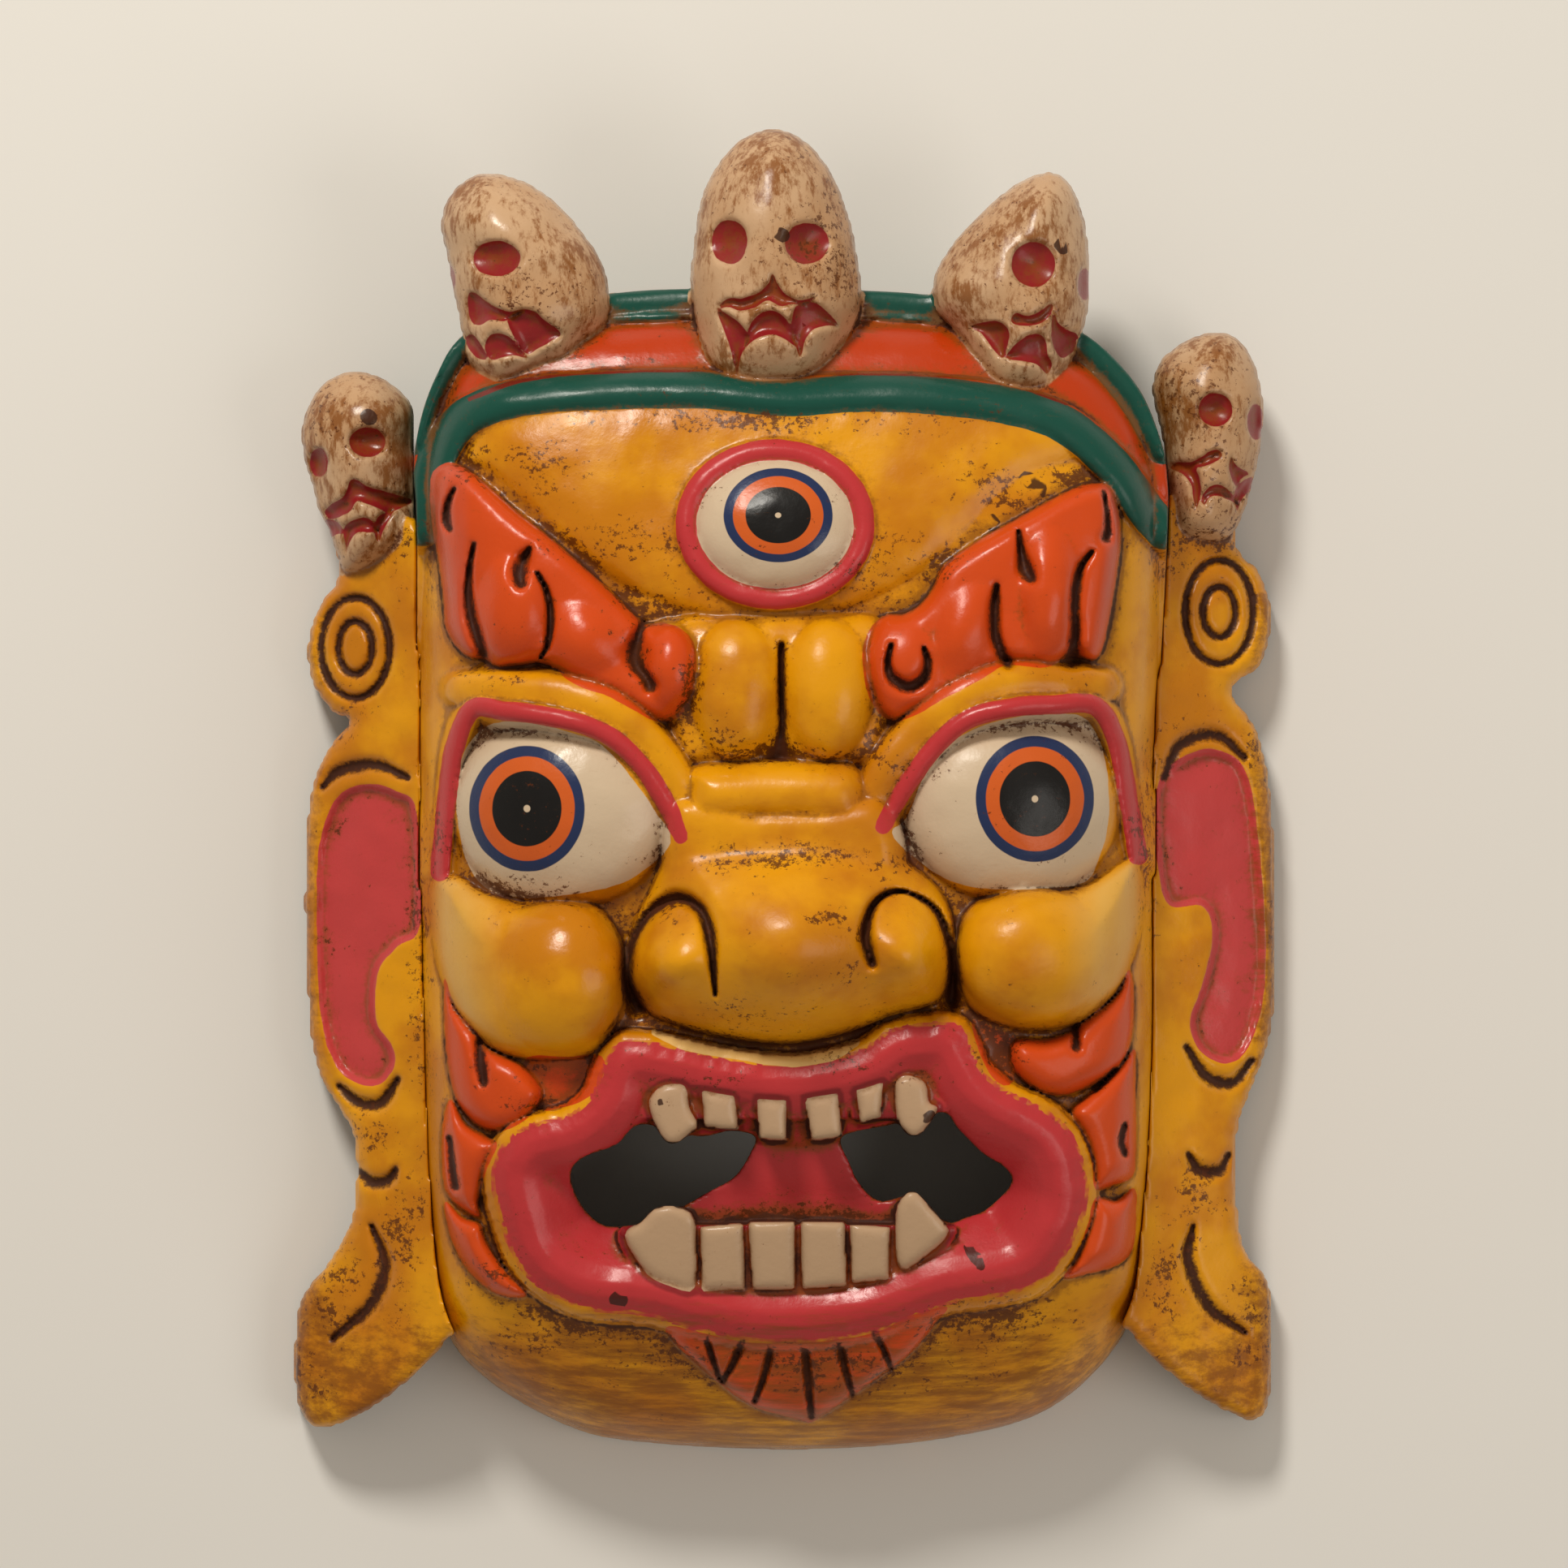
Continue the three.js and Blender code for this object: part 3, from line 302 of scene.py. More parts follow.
# Lips, mouth and teeth
LIP_OUTLINE = [
    (-89.5, -122.5), (-88.5, -115), (-84, -107.5), (-76.5, -103.8), (-66.5, -101.3), (-59, -95),
    (-55.3, -85), (-51.5, -80), (-46.5, -78.3), (-34, -80), (-16.5, -83.8), (-1.5, -85.5), (8.5, -85),
    (23.5, -81.3), (33.5, -75), (46, -73), (53.5, -73.8), (57.3, -80), (61, -87.5), (68.5, -93.8),
    (81, -100), (88.5, -107.5), (92.3, -117.5), (93, -127.5), (89.8, -137.5), (83.5, -147.5), (76, -153.8),
    (63.5, -156.8), (51, -158.8), (41, -162.5), (28.5, -167.5), (8.5, -170.5), (-11.5, -170), (-29, -166.3),
    (-41.5, -162.5), (-56.5, -161.3), (-66.5, -158.8), (-76.5, -152.5), (-82.8, -145), (-86.5, -135),
]
# Height of the lips over the dome, by the distance inside their outline.
LIP_PROFILE = (
    (-4, -6), (-3.2, 3), (-2, 6.5), (0, 8), (4, 10), (8, 9.5), (13, 6), (19, 0), (25, -6), (40, -8),
)
# The holes count as this deep, and no place as lower than the floor, where dirt is gathered.
MOUTH_DEPTH = 14
CAVITY_FLOOR = 20
MOUTH_HOLES = [
    [(-65.3, -117.5), (-61.5, -113.8), (-51.5, -110), (-44, -103.8), (-26.5, -107.5), (-16.5, -105.8),
     (-9, -107.5), (-10.3, -112.5), (-15.3, -120), (-24, -125), (-32.8, -130), (-41.5, -134), (-47.8, -135),
     (-55.3, -135), (-61.5, -130), (-65.3, -122.5)],
    [(17.3, -108.8), (21, -106.3), (33.5, -103.8), (48.5, -100), (53.5, -105), (61, -112.5), (68.5, -117.5),
     (69.8, -122.5), (62.3, -130), (56, -132.5), (49.8, -133.8), (39.8, -126), (29.8, -127.5),
     (23.5, -122.5), (19.8, -115)],
]
TEETH = [
    [(-41.5, -96.3), (-38.5, -92.5), (-34, -91.3), (-30.3, -92.5), (-29, -98.8), (-26.5, -103.8),
     (-29, -106.8), (-32.8, -109.5), (-36, -109.5), (-38.5, -106.3), (-40.8, -101.3)],
    [(-25.3, -93.5), (-15.3, -95), (-14, -105.3), (-19, -105.3), (-24.5, -104.5)],
    [(-8.3, -96), (0.5, -96.5), (1, -109), (-7.8, -108.3)],
    [(6.5, -96), (16.5, -94.3), (18, -107.7), (8.5, -109)],
    [(22.3, -93.5), (30.5, -91), (29.8, -101.5), (23.5, -103.5)],
    [(34.3, -91.3), (38.5, -88.8), (43.5, -91.3), (44.8, -97), (47.3, -98.8), (44.8, -103.8), (41, -107.5),
     (37.3, -106.3), (34.8, -101.3)],
    [(-49, -137.5), (-44, -133.8), (-40.3, -130), (-35.3, -128.8), (-30.3, -130), (-27.8, -132.5),
     (-27.2, -136.3), (-27.6, -154), (-34, -154), (-41.5, -150.5), (-46.5, -144)],
    [(-25.8, -135.5), (-12.7, -134), (-12, -154.8), (-25.2, -155.2)],
    [(-10.9, -134), (3.3, -133.5), (3.3, -154.6), (-9.6, -155)],
    [(5.2, -133.5), (18.7, -134), (19.3, -153.6), (5.6, -154.6)],
    [(20.3, -134.5), (32.6, -135.5), (32.2, -151.6), (20.9, -152.8)],
    [(34.3, -133.8), (35.5, -127.5), (39.8, -124.3), (44.8, -128.8), (49.8, -135), (50.5, -137.5),
     (46, -142.5), (36, -148.3)],
]
TOOTH_FRONT = 8.5
# A tooth's height at its edge, and what its rounding adds, as shares of TOOTH_FRONT.
TOOTH_SIDE = 0.72
TOOTH_CROWN = 0.28
TOOTH_ROUND = 3.5
GUM_FRONT = 4.5
UPPER_GUM = -102.5
LOWER_GUM = -134.5

# Sizes of the skulls
PIT_DEPTH = 5
SCOOP_DEPTH = 3.5
SCOOP_EDGE = 2.5
# Each has the height of its middle, its rise over that, how wide its edge is rounded, its outline, its eye
# pits as (x, y, half width, half height), and the outlines of the hollows carved below them.
SKULLS = {
    "middle": dict(
        z=60, rise=26, edge=25,
        outline=[(-2, 203.3), (-10.3, 201.8), (-16.8, 197.3), (-23.8, 187.5), (-27, 177.5), (-28.3, 167.3),
            (-29.5, 157.5), (-28.8, 147.5), (-27.5, 140), (-26, 132.5), (-22.8, 126.3), (-18.5, 122.5),
            (-12, 120.5), (-5.3, 120.3), (4.8, 122), (13, 127.3), (19, 135), (23.5, 144.3), (24.5, 153),
            (23, 165), (20.5, 176), (14.8, 190.3), (6.3, 200)],
        pits=[(-16.8, 168, 5.5, 6.8), (7, 167.5, 6.8, 6.3)],
        scoops=[
            [(-20.5, 147.5), (-17.2, 150.5), (-12.8, 150.5), (-7.8, 152.5), (-4.8, 155.2), (-3.5, 158),
             (-2, 155), (0.5, 152), (4.8, 150), (9.2, 151), (6.8, 148.5), (2.2, 148.8), (-1, 148.2),
             (-5, 149.8), (-9, 147.8), (-13.5, 146.8), (-17, 148)],
            [(-20.2, 147), (-15.2, 144.2), (-12.2, 141.2), (-11, 137.5), (-13.5, 132.5), (-14.5, 127.5),
             (-16, 133.8), (-17.8, 138.8), (-19.5, 143)],
            [(-12, 136), (-11, 141.2), (-9, 144.5), (-6, 146.5), (-2.5, 146.5), (0.5, 144.5), (2.5, 141.2),
             (3.8, 136), (0.5, 138), (-2.8, 139.5), (-6.5, 139.2), (-9.5, 137.5)],
            [(2.5, 145.5), (3.8, 148.2), (6.5, 149.2), (10, 149), (13, 146.8), (16.5, 142.5), (13, 142),
             (9.2, 141), (7, 138.5), (5, 132.5), (3.5, 136.5), (2.2, 140.5)],
        ],
    ),
    "left": dict(
        z=54, rise=24, edge=23,
        outline=[(-94.8, 189.5), (-101.5, 185), (-105.5, 178.3), (-106, 170), (-104.3, 163.8),
            (-103.5, 156.3), (-101.8, 149.5), (-100.3, 142.5), (-99.5, 137.5), (-98.5, 131.3), (-94, 125.5),
            (-88, 121), (-79, 123.8), (-71.5, 127), (-65, 129), (-60, 135), (-55, 140), (-53, 146),
            (-53, 151.8), (-55.3, 161.3), (-61.3, 171), (-70.8, 181.5), (-80.3, 187.3), (-87.8, 189.5)],
        pits=[(-88.5, 162.8, 7.2, 5.5), (-103.3, 155.8, 2, 5.5)],
        scoops=[
            [(-97.2, 152), (-94.8, 152.2), (-92.2, 150), (-89, 148), (-84.8, 146.5), (-80.2, 147),
             (-82.5, 144.8), (-86.5, 143.5), (-90.5, 144), (-93.5, 142.5), (-95.8, 143), (-97.2, 146.8)],
            [(-85, 143.2), (-83, 146.2), (-79.8, 147.2), (-76.5, 146.5), (-74.2, 144.2), (-68.8, 140),
             (-71.5, 137.5), (-75.5, 135.2), (-79, 133.5), (-81.5, 136), (-83.5, 139.5)],
            [(-92, 136.5), (-90.2, 139.5), (-87, 139.8), (-83.8, 138), (-81.2, 135), (-79, 132.2),
             (-82.8, 133), (-86.5, 132.5), (-90.5, 131.8)],
            [(-98.5, 138), (-96.2, 139.5), (-93.8, 137.2), (-92.2, 134.2), (-91.5, 131.8), (-94.5, 132.2),
             (-97, 135.2)],
        ],
    ),
    "right": dict(
        z=54, rise=24, edge=23,
        outline=[(84, 189.8), (76, 188.8), (65.8, 182.5), (53.5, 170.3), (47.3, 161.3), (45, 154),
            (46, 146.3), (50, 142), (53.5, 136.3), (55.8, 130.8), (59.8, 123.8), (64.8, 119.3),
            (70.3, 117.5), (75.5, 117.3), (81, 119.5), (84.5, 122.3), (89.5, 130.8), (91.8, 137.5),
            (93.5, 143), (94.8, 152.5), (94.8, 160.5), (94, 170), (93, 175.3), (89.8, 184.5)],
        pits=[(76.8, 161, 6.7, 7), (92.5, 155, 2, 5)],
        scoops=[
            [(69.8, 144), (71.5, 146), (75, 145.2), (78.8, 146.5), (82, 149), (82.8, 147.5), (80.8, 144.2),
             (77.8, 142.5), (74, 142), (71, 142.5)],
            [(57.8, 142), (61.5, 143.2), (65.5, 143.5), (68.5, 142), (69.5, 138.8), (68.5, 135.2),
             (67.5, 132.2), (65, 134.5), (62.5, 137.5), (60.5, 140)],
            [(68.5, 132.2), (70, 134.8), (72.5, 137.5), (75.5, 139.5), (79, 139.5), (80.8, 137.2),
             (81.2, 133.5), (82.5, 130), (81, 127.2), (78, 130), (74, 131)],
            [(83, 146), (84.5, 142.8), (87, 141), (90, 139.8), (91, 137.2), (89, 134.2), (86, 132.2),
             (83.8, 133.8), (82.5, 137.5), (82.5, 142)],
        ],
    ),
    "outer_left": dict(
        z=24, rise=20, edge=18,
        outline=[(-131.5, 128.8), (-140.3, 126.3), (-146, 120), (-149, 111.8), (-149, 105), (-147.5, 97.5),
            (-145.8, 92.5), (-144, 85), (-141.5, 80), (-138.5, 72.5), (-135.3, 65.5), (-124, 67.5),
            (-115.3, 72.5), (-113, 76), (-113, 87.5), (-113, 102.5), (-114, 117.3), (-121.5, 125.5)],
        pits=[(-128.3, 106.3, 5.6, 4.6), (-143.3, 100, 2.8, 4.6)],
        scoops=[
            [(-141.5, 85), (-138.8, 87.5), (-135.2, 90), (-133.5, 94.5), (-131.2, 94.5), (-127.8, 92.5),
             (-123.8, 91.5), (-119.5, 90.2), (-114.5, 88.2), (-118.2, 86), (-122, 84.8), (-125.5, 86.2),
             (-129, 87.5), (-131.5, 88.2), (-133.5, 85.2), (-136.5, 83.5), (-139.5, 82.5)],
            [(-125.5, 82.5), (-123.5, 84.2), (-120.2, 85.5), (-121.8, 82.2), (-123.5, 78.8), (-125, 75.5),
             (-126.2, 78.8)],
            [(-135.2, 75.5), (-135.5, 79.8), (-133.2, 82), (-130, 83), (-127, 82.2), (-125, 79.2),
             (-127.5, 78.5), (-131.5, 78.2), (-133.8, 75.5), (-134.8, 72.2)],
            [(-141.5, 82), (-139.2, 82.5), (-137, 81.2), (-135.8, 78.5), (-138.2, 77.8), (-140.2, 76.5),
             (-141.2, 79.2)],
        ],
    ),
    "outer_right": dict(
        z=24, rise=20, edge=19,
        outline=[(132.3, 141), (123.5, 138), (116, 132.5), (113, 125), (113.5, 117.5), (116, 106.3),
            (117, 92.5), (118.5, 80), (122.3, 75.5), (128.5, 74.5), (136, 75.5), (140.5, 80.5), (144.3, 91),
            (147.3, 104.3), (148.3, 116.3), (147.5, 123.5), (144.8, 132.5), (139.8, 138.8)],
        pits=[(132.8, 116.3, 5.2, 5.2), (145.3, 112.5, 2.5, 5.5)],
        scoops=[
            [(119, 98.2), (121, 100), (125.5, 100.2), (128.8, 101.8), (131, 103.5), (134, 103.8),
             (134.8, 102), (132.5, 100.2), (129.5, 99), (127, 98.2), (128.2, 94.5), (128.5, 91), (127, 86),
             (126, 90), (125, 93.8), (122.5, 96.5)],
            [(128.5, 89), (130.5, 92.2), (133.5, 93.2), (136.5, 92), (138.8, 89.2), (139.8, 87), (137, 88.5),
             (133.5, 89.8), (131, 89.2), (129.5, 87)],
            [(137.8, 101.8), (139, 99.2), (143, 96.8), (141, 95.2), (139.5, 92.5), (138, 94.8), (137.2, 98)],
            [(138.8, 91), (141, 94.2), (144.8, 95.5), (144.8, 92.5), (142.2, 90.2), (140.5, 87.8),
             (139.5, 85)],
        ],
    ),
}

# Sizes of the side boards
BOARD_INNER = 113.0
BOARD_FRONT = 41.0
BOARD_THICK = 16.0
BOARD_SLOPE = 0.64
BOARD_EDGE = 5.0
BACK_MARGIN = 1.5
RECESS_DEPTH = 3.5
RECESS_EDGE = 2.5
RECESS_SWELL = 0.8
BOARDS = {
    "left": dict(
        side=-1,
        outline=[(-104, 70), (-118, 86), (-137, 84), (-138, 64.5), (-143, 57), (-147, 45), (-145.8, 32.5),
            (-140, 23.5), (-134.5, 20), (-141.5, 11), (-146.5, -4), (-148, -32.5), (-147.3, -57.5),
            (-146, -77.5), (-142.8, -90), (-137, -99.5), (-133, -108), (-132, -120), (-134, -134),
            (-141, -146.5), (-149, -157), (-151, -170), (-150.5, -188.5), (-146.5, -196.5), (-141, -197.5),
            (-131.5, -194.3), (-119, -186), (-104, -171), (-96, -150), (-96, 0), (-100, 50)],
        disc=(-132, 43),
        rings=[(10.5, 15.5), (5.2, 8)],
        recess=[(-137.5, -3), (-129, 1), (-119, -1.5), (-113, -8), (-112, -42), (-119, -49), (-125, -57),
            (-125.5, -72), (-120.5, -80), (-120, -86), (-124.5, -91.5), (-132, -91), (-139, -84),
            (-143, -67), (-144, -32), (-142.5, -15)],
        marks=[
            [(-142, 0, 1), (-137, 5, 2), (-126, 7, 2), (-116, 3, 1)],
            [(-137, -92, 1), (-131, -97, 2), (-124, -97, 2), (-119, -90, 1)],
            [(-131, -118, 0.8), (-127, -121.5, 2), (-122, -121, 2), (-119.5, -117.5, 0.8)],
            [(-127, -135, 0.8), (-123, -147, 2.2), (-127, -159, 2.2), (-139, -170, 1)],
        ],
        skull="outer_left",
    ),
    "right": dict(
        side=1,
        outline=[(104, 74), (116, 90), (136, 90), (140, 74), (147, 66), (150.5, 53), (147.5, 38),
            (138.5, 30), (146, 17.5), (150.3, -2.5), (151.5, -32.5), (151.5, -65), (148.5, -82.5),
            (143.5, -95), (139.8, -107.5), (139.8, -127.5), (142.5, -142.5), (148.5, -150), (150.8, -162.5),
            (150, -187.5), (146, -195), (139, -194), (123.5, -185), (106, -168), (96, -150), (96, 0),
            (100, 50)],
        disc=(134, 54),
        rings=[(10.5, 16), (5, 7.8)],
        recess=[(123, 9.5), (133, 11.5), (143, 3), (147.5, -32), (148, -62), (143, -80), (136, -85),
            (128, -81), (125, -72), (129, -60), (132, -45), (128.5, -36.5), (117.5, -35), (114, -10),
            (116, 3)],
        marks=[
            [(117, 3, 1), (122, 13, 2), (133, 16, 2), (142, 9, 1)],
            [(124, -80, 1), (130, -89, 2), (138, -91, 2), (144, -84, 1)],
            [(124.5, -113, 0.8), (128, -118, 2), (134, -118, 2), (137, -113, 0.8)],
            [(126, -135, 0.8), (124.5, -146, 2.2), (131, -160, 2.2), (142, -168, 1)],
        ],
        skull="outer_right",
    ),
}


# Flat geometry on the maps
def curve(points, closed=False, pieces=6):
    """A smooth line through points, whose further columns are carried along."""
    p = np.array(points, float)
    p = np.vstack([p[-1], p, p[0], p[1]]) if closed else np.vstack([2 * p[0] - p[1], p, 2 * p[-1] - p[-2]])
    t = np.linspace(0, 1, pieces, endpoint=False)[:, None]
    spans = [
        0.5 * (2 * b + (c - a) * t + (2 * a - 5 * b + 4 * c - d) * t**2 + (3 * b - a - 3 * c + d) * t**3)
        for a, b, c, d in zip(p[:-3], p[1:-2], p[2:-1], p[3:])
    ]
    return np.vstack(spans) if closed else np.vstack([*spans, p[-2]])


def ellipse(cx, cy, rx, ry, count, *more):
    """Points round an ellipse, each with the further columns given."""
    turns = np.linspace(0, 2 * math.pi, count, endpoint=False)
    return [(cx + rx * math.cos(a), cy + ry * math.sin(a), *more) for a in turns]


def nowhere():
    """A map of margins on which no place is inside."""
    return np.full(X.shape, -FAR)


def highest(maps):
    """The highest of several maps, place by place."""
    return reduce(np.maximum, maps)


def window(x0, x1, y0, y1):
    """The part of the maps that a box covers."""
    i0, i1 = np.clip(((np.array([x0, x1]) - xs[0]) / MAP_STEP).astype(int) + (0, 2), 0, len(xs))
    j0, j1 = np.clip(((np.array([y0, y1]) - ys[0]) / MAP_STEP).astype(int) + (0, 2), 0, len(ys))
    return slice(j0, j1), slice(i0, i1)


def near_line(line, closed=False, reach=FAR):
    """Window round a line, distance to it there, and its further columns at the nearest place."""
    (x0, y0), (x1, y1) = line[:, :2].min(0) - reach, line[:, :2].max(0) + reach
    w = window(x0, x1, y0, y1)
    px, py = X[w], Y[w]
    best = np.full(px.shape, 1e9)
    extra = np.zeros(px.shape + (line.shape[1] - 2,))
    starts, ends = (line, np.roll(line, -1, 0)) if closed else (line[:-1], line[1:])
    for a, b in zip(starts, ends):
        d = b - a
        length = d[0] ** 2 + d[1] ** 2
        if length < 1e-9:
            continue
        t = np.clip(((px - a[0]) * d[0] + (py - a[1]) * d[1]) / length, 0, 1)
        q = (px - a[0] - t * d[0]) ** 2 + (py - a[1] - t * d[1]) ** 2
        m = q < best
        best[m] = q[m]
        if extra.shape[2]:
            extra[m] = a[2:] + t[m][:, None] * d[2:]
    return w, np.sqrt(best), extra


def region(outline, smooth=True, reach=FAR):
    """Distance inside an outline, negative outside it."""
    line = curve(outline, True) if smooth else np.array(outline, float)
    w, d, _ = near_line(line[:, :2], True, reach)
    px, py = X[w], Y[w]
    inside = np.zeros(px.shape, bool)
    for a, b in zip(line, np.roll(line, -1, 0)):
        if a[1] != b[1]:
            inside ^= ((a[1] > py) != (b[1] > py)) & (px < a[0] + (py - a[1]) * (b[0] - a[0]) / (b[1] - a[1]))
    out = np.full(X.shape, -reach)
    out[w] = np.where(inside, d, -np.minimum(d, reach))
    return out


def stroke(points, closed=False):
    """Distance inside a line's own width, its last column, negative outside it."""
    w, d, extra = near_line(curve(points, closed), closed, FAR + max(p[-1] for p in points))
    out = nowhere()
    out[w] = np.maximum(extra[..., -1] - d, -FAR)
    return out


def depth_in(points, closed=False):
    """How deep in a carved line a place is: 1 along its middle, 0 at its edge, negative outside it."""
    w, d, extra = near_line(curve(points, closed), closed)
    out = nowhere()
    out[w] = np.maximum(1 - d / (extra[..., 0] + LINE_SOFTNESS), -FAR)
    return out


def smax(a, b, k):
    """The higher of two maps, with the crease between them filled over a width of about k."""
    d = np.maximum(k - np.abs(a - b), 0) / k
    return np.maximum(a, b) + d * d * k * 0.25


def blur(a, mm):
    """A map smoothed by a bell of that size."""
    fy = np.fft.fftfreq(a.shape[0], MAP_STEP)[:, None]
    fx = np.fft.rfftfreq(a.shape[1], MAP_STEP)[None, :]
    return np.fft.irfft2(np.fft.rfft2(a) * np.exp(-2 * (math.pi * mm) ** 2 * (fx**2 + fy**2)), a.shape)


def add_lump(top, x, y, z=0, rx=1, up=1, down=None, rz=1, turn=0, k=2.0):
    """Half an ellipsoid on the base, with its own reach up and down, turned by degrees."""
    down = up if down is None else down
    reach = max(rx, up, down) * 1.2
    w = window(x - reach, x + reach, y - reach, y + reach)
    a = math.radians(turn)
    dx, dy = X[w] - x, Y[w] - y
    u, v = dx * math.cos(a) + dy * math.sin(a), dy * math.cos(a) - dx * math.sin(a)
    q = (u / rx) ** 2 + (v / np.where(v > 0, up, down)) ** 2
    high = np.where(q < 1, z + rz * np.sqrt(np.maximum(1 - q, 0)), z - 4 * rz * (np.sqrt(q) - 1))
    top[w] = smax(top[w], base[w] + high, k)


def add_swell(top, x, y, rx, up, down, rz):
    """Raises the surface itself in a soft mound that has no crease round it."""
    q = np.hypot((X - x) / rx, (Y - y) / np.where(Y > y, up, down))
    top += rz * np.cos(np.minimum(q, 1) * math.pi / 2) ** 2


def add_roll(top, points, closed=False, tall=1.0, k=1.5):
    """A half-round bar along points [x, y, height of its middle over the base, radius]."""
    w, d, extra = near_line(curve(points, closed), closed, max(p[3] for p in points) + 3)
    rise, r = extra[..., 0], np.maximum(extra[..., 1], 0.3)
    q = d / r
    high = np.where(q < 1, rise + r * tall * np.sqrt(np.maximum(1 - q * q, 0)), rise - 3 * r * (q - 1))
    top[w] = smax(top[w], base[w] + high, k)


def rounded(margin, edge):
    """From 0 on an edge to 1 at a distance inside it, as a quarter round."""
    return np.sqrt(np.clip(1 - (1 - np.clip(margin / edge, 0, 1)) ** 2, 0, 1))


def add_plate(top, outline, high, edge, k=1.0):
    """A flat form on the base with a rounded edge. Returns the distance inside its outline."""
    d = region(outline)
    up = high * rounded(d, edge)
    m = d > -2
    top[m] = smax(top[m], base[m] + np.where(d > 0, up, d * 4)[m], k)
    return d


def cut_groove(top, points, depth, closed=False):
    """A round-bottomed cut along points [x, y, half its width]."""
    w, d, extra = near_line(curve(points, closed), closed)
    r = np.maximum(extra[..., 0], 0.3)
    top[w] -= depth * np.exp(-((d / r) ** 2))


def value_noise(mm, seed):
    """Smooth noise of unit spread, with features of that size."""
    n = blur(np.random.default_rng(seed).standard_normal(X.shape), mm)
    return n / n.std()


def unevenness(*layers):
    """What the carver's hand leaves, from layers of (height, size, seed)."""
    return sum(high * value_noise(mm, seed) for high, mm, seed in layers)


# The dome under the carving
def dome_share(s):
    """Height of the dome as a share of its middle, by how far out a place is."""
    return np.maximum(0, 1 - np.clip(s, 0, 1) ** DOME_POWER) ** (1 / DOME_POWER)


rim_line = curve(RIM, True, 12)
rim_angle = np.arctan2(rim_line[:, 1] - RIM_MIDDLE[1], rim_line[:, 0] - RIM_MIDDLE[0])
rim_reach = np.hypot(rim_line[:, 1] - RIM_MIDDLE[1], rim_line[:, 0] - RIM_MIDDLE[0])
order = np.argsort(rim_angle)
angle = np.arctan2(Y - RIM_MIDDLE[1], X - RIM_MIDDLE[0])
out = np.hypot(Y - RIM_MIDDLE[1], X - RIM_MIDDLE[0])
reach_map = np.interp(angle, rim_angle[order], rim_reach[order], period=2 * math.pi)
rim_inside = reach_map - out
share = out / reach_map
heights = np.interp(Y, *zip(*DOME_HEIGHTS))
dome_front = np.where(share < 1, heights * dome_share(share), -4 * (out - reach_map))
base = heights * dome_share(np.minimum(share, DRAPE_LIMIT))
hollow_share = out / (reach_map - WALL)
hollow_top = np.where(hollow_share < 1, (heights - SHELL) * dome_share(hollow_share), EMPTY)


# The carving of the face. Each function cuts its part into the height map and notes what is painted how.
def carve_third_eye(top, paint):
    middle = ellipse(**THIRD_EYE, count=24)
    add_lump(top, x=THIRD_EYE["cx"], y=THIRD_EYE["cy"], z=2, rx=26, up=21.5, rz=12, k=1)
    add_roll(top, [(*p, 4, 3.6) for p in middle], closed=True, tall=1.1, k=0.8)
    paint["lid"] = stroke([(*p, 3.2) for p in middle], closed=True)
    paint["white"] = region(middle) - 2.8


def carve_eyes(top, paint):
    for eye in EYES:
        edge = [(*p, *roll) for p, roll in zip(eye["edge"], EDGE_ROLL)]
        add_lump(top, **eye["ball"], k=1.5)
        add_roll(top, [(*p, *roll) for p, roll in zip(eye["lid"], LID_ROLL)], tall=0.8, k=4)
        add_roll(top, edge, k=0.8)
        paint["lid"] = np.maximum(paint["lid"], stroke([(x, y, r) for x, y, _, r in edge]))
        paint["white"] = np.maximum(paint["white"], region(eye["white"]))


def carve_cheeks(top, paint):
    cheeks = nowhere()
    for cheek in CHEEKS:
        cheeks = np.maximum(cheeks, add_plate(top, cheek["outline"], high=15, edge=20, k=2))
        add_lump(top, **cheek["ball"], k=6)
    paint["white"] = np.minimum(paint["white"], -cheeks)
    paint["pale"] = np.clip((np.abs(X) - 86) / 12, 0, 1) * np.clip(cheeks / 3, 0, 1)


def carve_nose(top, paint):
    """The knot over the nose with its two swellings, the bridge, and the nose with its wings."""
    add_plate(top, KNOT, high=8, edge=12, k=3)
    for outline in FROWN:
        add_plate(top, outline, high=12.5, edge=10, k=2.5)
    for lump in FROWN_LUMPS:
        add_lump(top, **lump, k=4)
    cut_groove(top, FROWN_CLEFT, depth=5)
    add_plate(top, SADDLE, high=14, edge=9, k=2)
    add_plate(top, BRIDGE, high=15, edge=11, k=1.5)
    nose = add_plate(top, NOSE_OUTLINE, high=22, edge=30, k=2.5)
    for swell in NOSE_SWELLS:
        add_swell(top, **swell)
    for line in NOSTRILS:
        cut_groove(top, line, depth=7)
    paint["white"] = np.minimum(paint["white"], -nose)


def carve_brows(top, paint):
    paint["brow"] = highest(add_plate(top, outline, high=11, edge=6) for outline in BROWS)
    for lump in BROW_LUMPS:
        add_lump(top, **lump, k=4)
    for line in BROW_CUTS:
        cut_groove(top, line, depth=5)


def carve_hair(top, paint):
    whiskers = highest(add_plate(top, outline, high=9, edge=7) for outline in WHISKERS)
    room = highest(region(outline) for outline in WHISKER_ROOM)
    paint["hair"] = highest((whiskers, room, add_plate(top, BEARD, high=6, edge=5)))
    for line in WHISKER_CUTS + BEARD_CUTS:
        cut_groove(top, line, depth=4)


def carve_lips(top, paint):
    lip = region(LIP_OUTLINE, reach=60)
    lip = np.where(lip > 3, blur(lip, 1.5), lip)
    rim = base + np.interp(lip, *zip(*LIP_PROFILE))
    top[:] = np.where(lip > 2, rim, smax(top, np.where(lip > -6, rim, EMPTY), 1.0))
    paint["lip"] = lip
    paint["cream"] = stroke(CREAM_STRIP)


